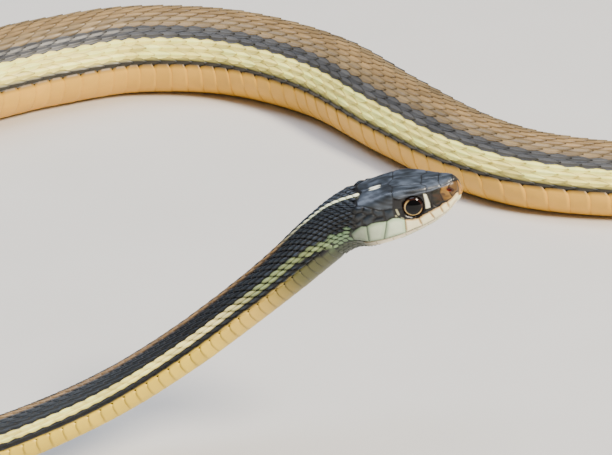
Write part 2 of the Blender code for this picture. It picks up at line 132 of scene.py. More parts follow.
def smooth_curve(points, steps):
    """A smooth line through points, with this many steps to each span."""
    points = np.array(points, float)
    padded = np.vstack([2 * points[0] - points[1], points, 2 * points[-1] - points[-2]])
    out = []
    for a, b, c, d in zip(padded, padded[1:], padded[2:], padded[3:]):
        for t in np.arange(steps) / steps:
            bend, twist = 2 * a - 5 * b + 4 * c - d, 3 * b - a - 3 * c + d
            out.append(0.5 * (2 * b + (c - a) * t + bend * t**2 + twist * t**3))
    return np.array(out + [points[-1]])


def step(at, low, high):
    """0 below low and 1 over high, with a soft rise between."""
    t = np.clip((at - low) / (high - low), 0.0, 1.0)
    return t * t * (3 - 2 * t)


def blend(first, second, share):
    return first + (second - first) * share


def run_length(line):
    return np.r_[0.0, np.cumsum(np.linalg.norm(np.diff(line, axis=0), axis=1))]


def route():
    turn, rise = math.radians(HEAD_TURN), math.radians(HEAD_RISE)
    forward = np.array([math.cos(turn) * math.cos(rise), math.sin(turn) * math.cos(rise), math.sin(rise)])
    head = [np.array(SNOUT) - forward * d for d in HEAD_LINE]
    line = smooth_curve(head + list(NECK_ROUTE) + [(x, y, 0.0) for x, y in FLOOR_ROUTE], CURVE_STEPS)
    line[:, 2] += BELLY_FLAT * soft(run_length(line), GIRTH_AT, HALF_HEIGHT)
    line[:, :2] += PLACE
    return line


LINE = route()
FAR = run_length(LINE)
VIEW_REACH = 1.2  # the route's direction is read over this far before and behind


def middle(at):
    return np.stack([np.interp(at, FAR, LINE[:, k]) for k in range(3)], axis=-1)


def unit(vectors):
    return vectors / np.maximum(np.linalg.norm(vectors, axis=-1, keepdims=True), 1e-12)


def frames(at):
    """The middle, and the directions forward, left and up, at distances from the snout."""
    at = np.asarray(at, float)
    forward = unit(middle(np.maximum(at - VIEW_REACH, 0.0)) - middle(np.minimum(at + VIEW_REACH, FAR[-1])))
    left = unit(np.cross(np.broadcast_to((0.0, 0.0, 1.0), forward.shape), forward))
    up = np.cross(forward, left)
    lean = (math.radians(HEAD_ROLL) * (1.0 - np.clip((at - HEAD_END) / ROLL_FADE, 0.0, 1.0)))[..., None]
    turned = left * np.cos(lean) + up * np.sin(lean)
    return middle(at), forward, turned, np.cross(forward, turned)


def body_section(at, share):
    wide, high = soft(at, GIRTH_AT, HALF_WIDTH), soft(at, GIRTH_AT, HALF_HEIGHT)
    return wide * np.sin(np.pi * share), np.maximum(high * np.cos(np.pi * share), -BELLY_FLAT * high)


def head_section(at, share):
    tables = (CROWN_HEIGHT, BROW_WIDTH, BROW_HEIGHT, CHEEK_WIDTH, LIP_WIDTH, CHIN_DEPTH, MOUTH_HEIGHT)
    crown, brow, brow_up, cheek, lip, chin, mouth = (soft(at, STATION, values) for values in tables)
    side = brow_up - mouth
    inset = LIP_STEP * np.minimum(1.0, lip / 2.0)
    none = np.zeros_like(crown)
    across = (none, SHOULDER_WIDTH * brow, brow, 0.5 * (brow + cheek) + CHEEK_OUT, lip, lip,
              lip - inset, JAW_WIDTHS[0] * lip - inset, JAW_WIDTHS[1] * lip, none)
    shoulder = crown - SHOULDER_DROP * (crown - brow_up)
    height = (crown, shoulder, brow_up, mouth + CHEEK_UP * side, mouth + LIP_UP * side)
    height += tuple(mouth - depth * chin for depth in JAW_DEPTHS)
    across, height = np.stack(across, axis=1), np.stack(height, axis=1)
    return soft(share, SECTION_MARKS, across), soft(share, SECTION_MARKS, height) - MOUTH_DROP


def bare_surface(at, share):
    """Points on the body at distances from the snout and shares round the half section."""
    side, share = np.where(share < 0, -1.0, 1.0), np.abs(share)
    share = np.where(share > 1.0, 2.0 - share, share)
    out, high = body_section(at, share)
    on_head = at < HEAD_END
    if on_head.any():
        h_out, h_high = head_section(at[on_head], share[on_head])
        weight = 1.0 - step(at[on_head], BLEND_FROM, HEAD_END)
        out[on_head] += weight * (h_out - out[on_head])
        high[on_head] += weight * (h_high - high[on_head])
    here, _, left, up = frames(at)
    return here + left * (side * out)[:, None] + up * high[:, None]


SLOPE_REACH = (0.12, 0.008)  # the surface's slope is read this far along it and this share around it


def surface(at, share, lift):
    """Points lifted over the body's surface, or sunk under it where lift is negative."""
    at, share = np.asarray(at, float), np.asarray(share, float)
    reach, turn = SLOPE_REACH
    side = np.where(share < 0, -1.0, 1.0)
    inner = np.clip(np.abs(share), turn, 1.0 - turn) * side
    lengthwise = bare_surface(at + reach, inner) - bare_surface(np.maximum(at - reach, 0.0), inner)
    crosswise = bare_surface(at, inner + turn) - bare_surface(at, inner - turn)
    outward = unit(np.cross(crosswise, lengthwise))
    return bare_surface(at, share) + outward * np.asarray(lift, float)[..., None]


# The shields of the head, each by its corners: distance from the snout, and share of the half section
ROSTRAL = ((-1.0, 0.15), (0.02, 0.15), (0.02, 0.22), (0.06, 0.38), (0.2, 0.47), (0.42, 0.585), (-1.0, 0.62))
SNOUT_TIP = ((-1.0, -0.15), (0.02, -0.15), (0.4, -0.2), (0.5, 0.0), (0.4, 0.2), (0.02, 0.15), (-1.0, 0.15))
INTERNASAL = ((0.5, 0.0), (0.4, 0.2), (1.1, 0.225), (2.4, 0.262), (2.5, 0.0))
PREFRONTAL = ((2.5, 0.0), (2.4, 0.262), (3.9, 0.298), (4.6, 0.3), (4.3, 0.17), (5.1, 0.1), (5.0, 0.0))
FRONTAL = (
    (5.0, 0.0), (5.1, 0.1), (7.2, 0.085), (9.3, 0.07), (10.1, 0.0), (9.3, -0.07), (7.2, -0.085), (5.1, -0.1),
)
SUPRAOCULAR = (
    (5.1, 0.1), (4.3, 0.17), (4.6, 0.3), (6.9, 0.312), (8.6, 0.305), (9.45, 0.275), (9.4, 0.16), (9.3, 0.07),
    (7.2, 0.085),
)
PARIETAL = (
    (10.1, 0.0), (9.3, 0.07), (9.4, 0.16), (9.45, 0.275), (10.0, 0.36), (11.0, 0.352), (12.0, 0.33),
    (13.0, 0.285), (14.0, 0.245), (15.0, 0.19), (15.1, 0.12), (14.8, 0.05), (14.3, 0.0),
)
NASALS = (
    ((0.02, 0.15), (0.42, 0.2), (1.1, 0.225), (1.35, 0.3), (1.4, 0.38), (1.2, 0.47), (0.2, 0.47),
     (0.06, 0.38), (0.02, 0.22)),
    ((1.35, 0.3), (1.1, 0.225), (2.4, 0.262), (2.75, 0.33), (2.65, 0.44), (2.2, 0.468), (1.2, 0.47),
     (1.4, 0.38)),
)
LOREAL = ((2.4, 0.262), (3.9, 0.298), (4.2, 0.38), (4.05, 0.455), (3.3, 0.462), (2.65, 0.44), (2.75, 0.33))
PREOCULAR = (
    (3.9, 0.298), (4.6, 0.3), (5.9, 0.309), (5.9, 0.5), (5.0, 0.492), (3.9, 0.488), (4.05, 0.455),
    (4.2, 0.38),
)
POSTOCULARS = (
    ((8.3, 0.307), (9.45, 0.275), (9.75, 0.32), (9.9, 0.375), (8.2, 0.385)),
    ((8.2, 0.385), (9.9, 0.375), (10.0, 0.425), (9.5, 0.448), (8.9, 0.485), (7.8, 0.505)),
)
TEMPORALS = (
    ((10.0, 0.36), (11.4, 0.347), (11.6, 0.39), (11.5, 0.432), (10.05, 0.428), (9.9, 0.375)),
    ((11.4, 0.347), (12.0, 0.33), (12.9, 0.29), (13.1, 0.335), (12.6, 0.38), (11.6, 0.39)),
    ((11.6, 0.39), (12.6, 0.38), (13.3, 0.385), (13.45, 0.412), (12.7, 0.418), (11.6, 0.432)),
    ((12.9, 0.29), (14.1, 0.243), (14.55, 0.29), (13.9, 0.33), (13.1, 0.335)),
    ((13.1, 0.335), (13.9, 0.33), (14.9, 0.35), (15.1, 0.395), (14.4, 0.42), (13.45, 0.412), (13.3, 0.385),
     (12.6, 0.38)),
    ((14.1, 0.243), (15.0, 0.19), (15.6, 0.225), (15.35, 0.285), (14.55, 0.29)),
    ((14.55, 0.29), (15.35, 0.285), (15.9, 0.325), (15.6, 0.365), (14.9, 0.35), (13.9, 0.33)),
    ((15.1, 0.395), (14.9, 0.35), (15.6, 0.365), (16.2, 0.39), (15.9, 0.41), (15.4, 0.412)),
)
# The lip's plates lie between seams that each run from a top corner down to the mouth, with round tops
LIP_SEAMS = (
    ((0.3, 0.47), (0.42, 0.585)), ((2.2, 0.482), (2.1, 0.585)), ((3.35, 0.49), (3.15, 0.585)),
    ((5.0, 0.5), (4.6, 0.585)), ((6.8, 0.518), (6.7, 0.585)), ((8.8, 0.488), (9.35, 0.585)),
    ((11.45, 0.443), (12.75, 0.585)), ((14.55, 0.428), (15.1, 0.585)), ((17.5, 0.485), (17.8, 0.56)),
)
LIP_TOPS = (
    ((1.3, 0.472),), ((2.8, 0.472),), ((4.1, 0.488),), ((5.9, 0.502),), ((7.9, 0.507),),
    ((9.6, 0.452), (10.5, 0.435)), ((12.8, 0.42), (13.8, 0.416)), ((15.4, 0.414), (16.5, 0.44)),
)
JAW_SEAMS = (0.75, 1.9, 3.1, 4.5, 6.0, 7.8, 9.6, 11.6, 14.0, 16.4)
JAW_TOP, JAW_FOOT = 0.612, 0.735
CHIN_PLATES = (
    ((-1.0, 0.6), (0.75, 0.612), (1.4, 0.93), (1.55, 1.0), (1.4, 1.07), (0.75, 1.388), (-1.0, 1.4)),
    ((1.55, 1.0), (1.4, 0.93), (2.4, 0.76), (5.3, 0.8), (6.0, 0.93), (5.8, 1.0)),
    ((5.8, 1.0), (6.0, 0.93), (5.3, 0.8), (6.8, 0.76), (10.6, 0.84), (11.4, 0.95), (10.4, 1.0)),
    ((1.9, 0.735), (6.6, 0.735), (5.3, 0.8), (2.4, 0.76)),
    ((6.6, 0.735), (10.6, 0.74), (10.6, 0.84), (6.8, 0.76)),
)
LIPS_TURN_MINT = 5  # the upper lip's plates are pale green from this one back
# Each kind of shield: its colour, how far its middle stands over its seams, and the width of its rounded edge
KINDS = {
    "rostral": ("rostral", 0.05, 0.25),
    "snout tip": ("snout_tip", 0.05, 0.25),
    "crown": ("slate", 0.03, 0.25),
    "front nasal": ("front_nasal", 0.07, 0.25),
    "rear nasal": ("nasal", 0.07, 0.25),
    "loreal": ("loreal", 0.08, 0.3),
    "ocular": ("ocular", 0.09, 0.3),
    "temporal": ("temporal", 0.3, 0.8),
    "front lip": ("lip_front", 0.09, 0.25),
    "rear lip": ("lip_rear", 0.11, 0.4),
    "lower lip": ("lip_low", 0.06, 0.2),
    "chin": ("chin", 0.06, 0.25),
    "skin": ("ocular", 0.0, 0.3),
}
DOMED = 0.2  # shields that rise more than this have the full roundness of a bead
MOUTH_GROOVE, MOUTH_GROOVE_WIDTH = 0.3, 0.16
MOUTH_FADE = 0.6  # the groove runs out over this length before and behind the mouth's end
# The pattern's midline lies this far round to the left, and to the right on the head, by distance
LEAN = ((0.5, 0.0), (4.0, -0.035), (12.0, -0.045), (16.0, -0.034), (20.0, -0.01), (24.0, 0.02), (30.0, 0.034),
        (40.0, 0.028), (100.0, 0.026), (150.0, 0.0))
LEAN_FADE = (0.15, 0.42)  # the lean runs out between these shares
ARC_GRID = (111, 81)  # rows along the head and columns round it, in the table of distances


def along(at, table):
    """A value that changes along the snake, from (distance, value) pairs."""
    return np.interp(at, *zip(*table))


def lean_at(at, share):
    return along(at, LEAN) * (1.0 - step(np.abs(share), *LEAN_FADE))


def leaned(at, share):
    """Where a share of the pattern lies on the body."""
    return share + lean_at(at, share)


def unleaned(at, share):
    """The share of the pattern that lies at a share of the body."""
    return share - lean_at(at, share - lean_at(at, share))


def arc_table():
    """The distance round the half section from the back, by distance from the snout and share."""
    places, shares = (np.linspace(0.0, end, count) for end, count in zip((HEAD_END, 1.0), ARC_GRID))
    at, share = np.meshgrid(places, shares, indexing="ij")
    points = bare_surface(at.ravel(), share.ravel()).reshape(len(places), len(shares), 3)
    run = np.cumsum(np.linalg.norm(np.diff(points, axis=1), axis=2), axis=1)
    return places, shares, np.hstack([np.zeros((len(places), 1)), run])


ARC_PLACES, ARC_SHARES, ARCS = arc_table()


def arc(at, share):
    """Distance in mm from the midline of the back, read between the table's rows."""
    at, share = np.broadcast_arrays(np.asarray(at, float), np.asarray(share, float))
    past = np.abs(share) > 1.0
    shares = np.where(past, 2.0 - np.abs(share), np.abs(share))
    row, column = (np.clip(values / marks[1], 0, len(marks) - 1.001)  # short of the table's last mark
                   for values, marks in ((at, ARC_PLACES), (shares, ARC_SHARES)))
    i, j = row.astype(int), column.astype(int)
    u, v = row - i, column - j
    low = ARCS[i, j] * (1 - v) + ARCS[i, j + 1] * v
    high = ARCS[i + 1, j] * (1 - v) + ARCS[i + 1, j + 1] * v
    run = low * (1 - u) + high * u
    whole = ARCS[i, -1] * (1 - u) + ARCS[i + 1, -1] * u
    return np.sign(share) * np.where(past, 2.0 * whole - run, run)


def inside_distance(x, y, outline):
    """How far each point lies inside an outline of straight sides. Outside it the distance is negative."""
    corners = np.array([(at, float(arc(at, share))) for at, share in outline])
    nearest = np.full(x.shape, np.inf)
    inside = np.zeros(x.shape, bool)
    for (ax, ay), (bx, by) in zip(corners, np.roll(corners, -1, axis=0)):
        run_x, run_y = bx - ax, by - ay
        t = np.clip(((x - ax) * run_x + (y - ay) * run_y) / (run_x**2 + run_y**2), 0.0, 1.0)
        nearest = np.minimum(nearest, np.hypot(x - ax - t * run_x, y - ay - t * run_y))
        crosses = (ay > y) != (by > y)
        if abs(run_y) > 0:
            inside ^= crosses & (x < ax + (y - ay) / run_y * run_x)
    return np.where(inside, nearest, -nearest)


def lip_outlines():
    """The upper lip's plates between their seams and tops, and then the lower lip's."""
    upper = [("rear lip" if number >= LIPS_TURN_MINT else "front lip", (a, *tops, c, d, b))
             for number, ((a, b), (c, d), tops) in enumerate(zip(LIP_SEAMS, LIP_SEAMS[1:], LIP_TOPS))]
    lower = [("lower lip", ((a, JAW_TOP), (c, JAW_TOP), (c, JAW_FOOT), (a, JAW_FOOT)))
             for a, c in zip(JAW_SEAMS, JAW_SEAMS[1:])]
    return upper + lower


SHIELD_GROUPS = (
    ("rostral", (ROSTRAL,)),
    ("snout tip", (SNOUT_TIP,)),
    ("crown", (INTERNASAL, PREFRONTAL, FRONTAL, SUPRAOCULAR, PARIETAL)),
    ("front nasal", NASALS[:1]),
    ("rear nasal", NASALS[1:]),
    ("loreal", (LOREAL,)),
    ("ocular", (PREOCULAR, *POSTOCULARS)),
    ("temporal", TEMPORALS),
)
SHIELDS = [(kind, outline) for kind, outlines in SHIELD_GROUPS for outline in outlines]
SHIELDS += lip_outlines() + [("chin", outline) for outline in CHIN_PLATES]
SHIELD_KINDS = np.array([kind for kind, _ in SHIELDS] + ["skin"])


def nearest_shield(at, share):
    """The shield that each point of the head lies in, or -1, and how far inside it."""
    x, y = at, arc(at, np.abs(share))
    depth, shield = np.full(at.shape, -np.inf), np.full(at.shape, -1)
    for number, (_, outline) in enumerate(SHIELDS):
        inside = inside_distance(x, y, outline)
        better = inside > depth
        depth[better], shield[better] = inside[better], number
    return np.where(depth > 0, shield, -1), depth


# Colours of the living snake, some with painted light in them: sheen on dark scales, a highlight along the
# canthus, and shade on the throat, nape and neck
INK = {
    "black": "#0A0B0C", "dark_fore_and_sheen": "#1C1F20", "slate": "#2A3037", "slate_pale": "#565F6C",
    "ocular": "#0C0908", "temporal": "#0B0D10", "temporal_sheen": "#262E36", "bead": "#2C3641",
    "stripe_nape": "#EFF6C6", "stripe_neck": "#806238", "stripe_fore": "#9C8052", "stripe_far": "#98784A",
    "mint_shaded": "#6E8864", "lateral_nape_shaded": "#7E8A58", "lateral_neck": "#EBDC92", "lateral_far": "#FFEE7E",
    "belly_throat_shaded": "#343C28", "belly_nape_shaded": "#5C5A2E", "belly_neck_shaded": "#D8B44C", "belly_fore": "#F2CE3E",
    "belly_far": "#E8B040", "belly_under": "#EED27C",
    "back_far": "#806B49", "band_far": "#454442", "line_far": "#2A2618",
    "lip_front": "#FFF5C6", "lip_rear": "#D8E6C6", "lip_low": "#FFF0CC", "lip_rim": "#C0924A",
    "lip_edge_rear": "#A2BC96", "lip_seam": "#8A6434", "lip_seam_rear": "#1C2A22",
    "rostral": "#A8782A", "snout_tip": "#302E2C", "front_nasal": "#5E4422", "nasal": "#86622A",
    "loreal": "#1C1A0C", "nostril": "#86240F", "nostril_rim": "#2A0F08", "nasal_spot": "#3A2410",
    "canthus_highlight": "#7E8696", "dark_mark": "#0E0C09", "bar": "#F6F4D2", "fleck": "#C4C39A", "chin": "#D9DDB6",
    "spot": "#FDFFE6",
}


def linear(code):
    """An sRGB hex colour as linear red, green and blue."""
    parts = np.array([int(code[i : i + 2], 16) for i in (1, 3, 5)]) / 255.0
    return np.where(parts <= 0.04045, parts / 12.92, ((parts + 0.055) / 1.055) ** 2.4)


def ink(name):
    return linear(INK[name])


def mix(first, second, share):
    share = np.asarray(share, float)[..., None]
    return first * (1.0 - share) + second * share


def tinted(colour, layers):
    """Lays inks over a colour in turn, from (ink name, how much of it) pairs."""
    for name, share in layers:
        colour = mix(colour, ink(name), share)
    return colour


def along_colours(at, stops):
    """A colour that changes along the snake, from (distance, ink name) stops."""
    places = [place for place, _ in stops]
    colours = np.array([ink(name) for _, name in stops])
    return np.stack([np.interp(at, places, colours[:, k]) for k in range(3)], axis=-1)


FAR_BODY = (130.0, 260.0)  # the dark forebody turns to the browner far body over this stretch
# Each band's inks by distance from the snout
# The dark ground turns lighter along the forebody: partly the body's own grey-brown, partly a painted sheen
DARK_INKS = ((48, "black"), (70, "dark_fore_and_sheen"))
STRIPE_INKS = ((15, "stripe_nape"), (20, "stripe_nape"), (29, "stripe_neck"), (60, "stripe_neck"),
               (110, "stripe_fore"), (300, "stripe_far"))
# The throat's mint and the side stripe's ink behind the head are darkened with painted shade
LATERAL_INKS = ((20, "mint_shaded"), (25, "lateral_nape_shaded"), (35, "lateral_nape_shaded"), (44, "lateral_neck"),
                (60, "lateral_far"))
LINE_INKS = ((60, "black"), (260, "line_far"))
# The belly's throat, nape and neck inks are darkened with painted shade: the head's shadow, and shade over
# the neck
BELLY_INKS = ((20, "belly_throat_shaded"), (29, "belly_nape_shaded"), (38, "belly_neck_shaded"), (50, "belly_fore"),
              (150, "belly_fore"), (260, "belly_far"))
# The bands' edges by distance from the snout, in shares of the half section
STRIPE_EDGE = ((14.4, 0.0), (15.4, 0.026), (22.0, 0.032), (30.0, 0.05), (100.0, 0.05), (200.0, 0.08))
LATERAL_TOP = ((17.0, 0.43), (21.0, 0.42), (24.0, 0.345), (28.0, 0.3), (33.0, 0.28))
LATERAL_FOOT = ((21.5, 0.56), (23.0, 0.46), (25.0, 0.425), (28.0, 0.375), (31.0, 0.355), (42.0, 0.36),
                (130.0, 0.375), (240.0, 0.44))
BELLY_TOP = ((21.5, 0.56), (24.0, 0.52), (28.0, 0.455), (33.0, 0.45), (130.0, 0.462), (240.0, 0.505))
MINT_TEETH = ((18.1, 0.36, 0.55), (20.8, 0.385, 0.6))  # distance, highest share and half width
LATERAL_START = (16.8, 17.2)  # the side stripe comes in over this stretch
FAR_BAND_EDGE = (0.168, 0.182)
EDGE_SOFT = 0.008
# The throat's green runs into the belly's colour, darkened here with painted shade, and the belly pales round
# its underside
THROAT_FOOT = (0.5, 0.62)
THROAT_END = (20.5, 24.0)
UNDERSIDE, UNDERSIDE_START, UNDERSIDE_PALE = (0.75, 0.95), (22.0, 30.0), 0.6
# The mottling of the shields: two clouds of blots, in mm, drawn out along the head
CLOUD_WAVES, WAVE_SPREAD = 16, (0.7, 1.4)
STREAK = (0.4, 1.0, 1.0)
BLOT, FINE_BLOT, FINE_SHARE = 0.9, 0.35, 0.6


def cloud(points, size, seed):
    """Smooth noise from about -1 to 1 over points in mm, with blots of about this size."""
    draw = np.random.default_rng(seed)
    directions = unit(draw.normal(size=(CLOUD_WAVES, 3)))
    waves = directions * draw.uniform(*WAVE_SPREAD, (CLOUD_WAVES, 1)) * math.pi / size
    phases = draw.uniform(0.0, 2.0 * math.pi, CLOUD_WAVES)
    return np.sin(points @ waves.T + phases).sum(axis=1) / math.sqrt(CLOUD_WAVES)


def marking(colour, other, inside, strength=1.0):
    """Lays one colour over another where the share inside is positive, with a soft edge."""
    return mix(colour, other, step(inside, -EDGE_SOFT, EDGE_SOFT) * strength)


def lateral_top(at):
    """The side stripe's upper edge, which rises in teeth behind the head."""
    top = along(at, LATERAL_TOP)
    for place, height, half in MINT_TEETH:
        top = top - (top - height) * np.clip(1.0 - np.abs(at - place) / half, 0.0, 1.0)
    return top


def markings(at, share):
    """Colours of the body at distances from the snout and shares of the pattern."""
    off = np.abs(share)
    far = step(at, *FAR_BODY)
    dark, stripe, lateral, line, belly = (
        along_colours(at, inks) for inks in (DARK_INKS, STRIPE_INKS, LATERAL_INKS, LINE_INKS, BELLY_INKS))
    colour = tinted(dark, (("back_far", far), ("band_far", step(off, *FAR_BAND_EDGE) * far)))
    colour = marking(colour, stripe, along(at, STRIPE_EDGE) - off, 1.0 - 0.5 * far)
    colour = marking(colour, lateral, off - lateral_top(at), step(at, *LATERAL_START))
    colour = marking(colour, line, off - along(at, LATERAL_FOOT))
    # Painted shade: the throat darkens towards the belly
    throat = mix(ink("mint_shaded"), ink("belly_throat_shaded"), step(off, *THROAT_FOOT))
    belly = mix(throat, belly, step(at, *THROAT_END))
    colour = marking(colour, belly, off - along(at, BELLY_TOP))
    under = UNDERSIDE_PALE * step(off, *UNDERSIDE) * step(at, *UNDERSIDE_START)
    return mix(colour, ink("belly_under"), under)


OVAL_EDGE = (0.8, 1.15)


def in_oval(x, y, middle_x, middle_y, half_x, half_y):
    return 1.0 - step(np.hypot((x - middle_x) / half_x, (y - middle_y) / half_y), *OVAL_EDGE)


def oval(at, share, half_x, half_y, shift=0.0):
    """An oval mark: its middle, moved forward and up by shift, and its half sizes, all in mm."""
    return at - shift, float(arc(at, share)) - shift, half_x, half_y


# The pale and dark marks on the head, by their corners
EYE_BAR = ((4.62, 0.322), (5.0, 0.318), (5.12, 0.37), (5.4, 0.452), (4.72, 0.455), (4.62, 0.41))
LOREAL_DARK = ((3.75, 0.3), (4.5, 0.305), (4.55, 0.4), (4.65, 0.47), (3.6, 0.475), (3.9, 0.4))
FLECKS = (
    ((9.68, 0.378), (9.4, 0.382), (9.3, 0.425), (9.62, 0.43)),
    ((10.05, 0.423), (9.8, 0.42), (9.72, 0.437), (10.0, 0.44)),
    ((9.3, 0.452), (8.9, 0.468), (8.9, 0.482), (9.3, 0.466)),
)
MARK_EDGE, LOREAL_EDGE = (-0.06, 0.08), (-0.2, 0.2)
# A painted highlight runs along the canthus, the ridge between the crown and the side of the snout
CANTHUS_LINE = ((0.9, 0.238), (2.5, 0.268), (3.9, 0.294), (6.6, 0.304), (8.6, 0.297))
CANTHUS_WIDTH, CANTHUS_START, CANTHUS_END = (0.02, 0.1), (0.7, 1.3), (7.6, 9.0)
NOSTRIL = (1.35, 0.338)
NOSTRIL_RIM = oval(*NOSTRIL, 0.5, 0.4, 0.12)
NOSTRIL_RED = oval(*NOSTRIL, 0.3, 0.24)
NOSTRIL_PIT = oval(*NOSTRIL, 0.32, 0.24)
NOSTRIL_DEPTH = 0.38
NASAL_SPOT = oval(2.35, 0.36, 0.3, 0.25)
PARIETAL_SPOT = (12.2, 0.22, 1.0, 0.19)  # its middle and half sizes on each side of the midline
# The bare skin turns from the head's colours to the body's behind the shields and under the jaw
NAPE_START, NAPE_FADE = 15.3, (15.8, 17.5)
CHIN_SHARE = 0.59
THROAT_SHARE, THROAT_START, THROAT_FADE, THROAT_MIDDLE = 0.6, 11.0, (12.0, 17.0), 19.0
# How the blots take hold on the crown's plates and the nasal ones, and the painted sheen on the temporal
# scales' tops
PALE_BLOTS, DARK_BLOTS, NASAL_BLOTS = (-0.8, 2.0), (0.3, 1.7), (-0.4, 1.2)
TEMPORAL_SHEEN_DEPTH, TEMPORAL_BLOTS = (0.06, 0.32), 0.3
# Distances in from a shield's edge: its seam, the front lip's tinted rim, and the rear lip's pale green edge
SEAM_LINE, LIP_RIM, REAR_LIP_EDGE = (0.02, 0.14), (0.05, 0.34), (0.1, 0.75)
RIM_OVER_MOUTH = (0.3, 0.7)  # the rim fades near the mouth
# Painted shade: the rear lip's plates darken towards the back over this stretch
REAR_LIP_SHADE = (10.0, 17.0)


def shield_colours(off, shield, depth, points):
    """Each shield's own colour, mottled, a painted blue-grey sheen on the tops of the temporal scales, and
    the chin's bare skin.
    """
    colour = np.array([ink(KINDS[kind][0]) for kind in SHIELD_KINDS])[shield]
    kinds = SHIELD_KINDS[shield]
    streaks = points * STREAK
    smear = cloud(streaks, BLOT, 3) + FINE_SHARE * cloud(streaks, FINE_BLOT, 4)
    crown, nasal = kinds == "crown", np.isin(kinds, ("rear nasal", "front nasal", "loreal"))
    # Painted sheen: blue-grey over the domes of the temporal scales, mottled
    dome_sheen = step(depth, *TEMPORAL_SHEEN_DEPTH) * (0.7 + TEMPORAL_BLOTS * np.clip(smear, -1.0, 1.0))
    return tinted(colour, (
        ("slate_pale", 0.7 * step(smear, *PALE_BLOTS) * crown),
        ("dark_mark", 0.6 * step(-smear, *DARK_BLOTS) * crown),
        ("nasal_spot", 0.7 * step(smear, *NASAL_BLOTS) * nasal),
        ("temporal_sheen", dome_sheen * (kinds == "temporal")),
        ("chin", (shield < 0) & (off > CHIN_SHARE)),
    ))


def nape_colours(colour, at, off, pattern, shield):
    """The body's own colours on the bare skin behind the shields, and on the throat."""
    nape, throat = (shield < 0) & (at > NAPE_START), (off > THROAT_SHARE) & (at > THROAT_START)
    under = 1.0 - (1.0 - NECK_UNDER_TONE) * step(at[nape], *NAPE_FADE)
    colour[nape] = markings(at[nape], pattern[nape]) * under[:, None]
    green = markings(np.full(throat.sum(), THROAT_MIDDLE), pattern[throat])
    colour[throat] = mix(colour[throat], green, step(at[throat], *THROAT_FADE))
    return colour


def seam_colours(colour, at, y, kinds, depth):
    """The lips' tinted edges, painted shade over the rear lip's plates towards the back, and the dark seams
    between the shields.
    """
    seam, rim, edge = (1.0 - step(depth, *width) for width in (SEAM_LINE, LIP_RIM, REAR_LIP_EDGE))
    front, rear, low = kinds == "front lip", kinds == "rear lip", np.isin(kinds, ("lower lip", "rostral"))
    dark = ~(front | rear | low | np.isin(kinds, ("chin", "skin")))
    colour = tinted(colour, (
        ("lip_rim", 0.75 * rim * step(arc(at, MOUTH_SHARE) - y, *RIM_OVER_MOUTH) * front),
        ("lip_edge_rear", 0.8 * edge * rear),
    ))
    return tinted(colour * (1.0 - 0.6 * step(at, *REAR_LIP_SHADE) * rear)[:, None], (
        ("lip_seam", 0.6 * seam * front),
        ("lip_seam_rear", 0.9 * seam * rear),
        ("lip_seam", 0.5 * seam * low),
        ("dark_mark", 0.9 * seam * dark),
    ))


def mark_colours(colour, at, y, from_midline):
    """The marks on the sides of the head, a painted highlight along the canthus, the nostrils, and the two
    pale spots on the crown.
    """
    brow = 1.0 - step(np.abs(y - arc(at, along(at, CANTHUS_LINE))), *CANTHUS_WIDTH)
    brow = brow * step(at, *CANTHUS_START) * (1.0 - step(at, *CANTHUS_END))
    layers = [
        ("canthus_highlight", 0.5 * brow),
        ("dark_mark", 0.8 * step(inside_distance(at, y, LOREAL_DARK), *LOREAL_EDGE)),
        ("nasal_spot", 0.8 * in_oval(at, y, *NASAL_SPOT)),
        ("bar", step(inside_distance(at, y, EYE_BAR), *MARK_EDGE)),
    ]
    layers += [("fleck", 0.85 * step(inside_distance(at, y, outline), *MARK_EDGE)) for outline in FLECKS]
    layers += [
        ("nostril_rim", 0.85 * in_oval(at, y, *NOSTRIL_RIM)),
        ("nostril", in_oval(at, y, *NOSTRIL_RED)),
        ("spot", in_oval(at, from_midline, *PARIETAL_SPOT)),
    ]
    return tinted(colour, layers)


def head_colours(at, share, pattern, shield, depth, points):
    """Colours of the head: its shields, the bare skin behind them, the seams and the marks."""
    off = np.abs(share)
    y = arc(at, off)
    colour = nape_colours(shield_colours(off, shield, depth, points), at, off, pattern, shield)
    colour = seam_colours(colour, at, y, SHIELD_KINDS[shield], depth)
    return mark_colours(colour, at, y, np.abs(arc(at, pattern)))


def eye_axes(side):
    """The middle of an eye, and the way it looks."""
    here, forward, left, up = frames(np.array(EYE_AT))
    look = side * left + EYE_LOOK[0] * forward + EYE_LOOK[1] * up
    return here + left * side * EYE_OUT + up * (EYE_HEIGHT - MOUTH_DROP), look / np.linalg.norm(look)


def eye_height(radial):
    """How far the eye's cap stands over its middle plane, at distances from its axis."""
    return EYE_DEPTH * np.sqrt(np.maximum(1.0 - (np.minimum(radial, EYE_RADIUS) / EYE_RADIUS) ** 2, 0.0))


EYE_RIM_WIDTH, EYE_RIM_LIFT = 0.4, 0.07  # the ring of skin round each eye
EYE_CLEAR = 0.25  # the skin lies this far under the eye's cap
EYE_REACH = 1.5


def open_eyes(points):
    """Sinks the skin under each eye and brings it up to the eye's edge."""
    for side in (1.0, -1.0):
        centre, look = eye_axes(side)
        offset = points - centre
        high = offset @ look
        radial = np.linalg.norm(offset - high[:, None] * look, axis=1)
        near = (high > -EYE_REACH) & (radial < EYE_OPENING + EYE_RIM_WIDTH)
        outside = step(radial, EYE_OPENING, EYE_OPENING + EYE_RIM_WIDTH)
        rim = (eye_height(EYE_OPENING) + EYE_RIM_LIFT) * (1 - outside) + high * outside
        wanted = np.where(radial < EYE_OPENING, np.minimum(high, eye_height(radial) - EYE_CLEAR), rim)
        points[near] += (wanted - high)[near, None] * look
    return points


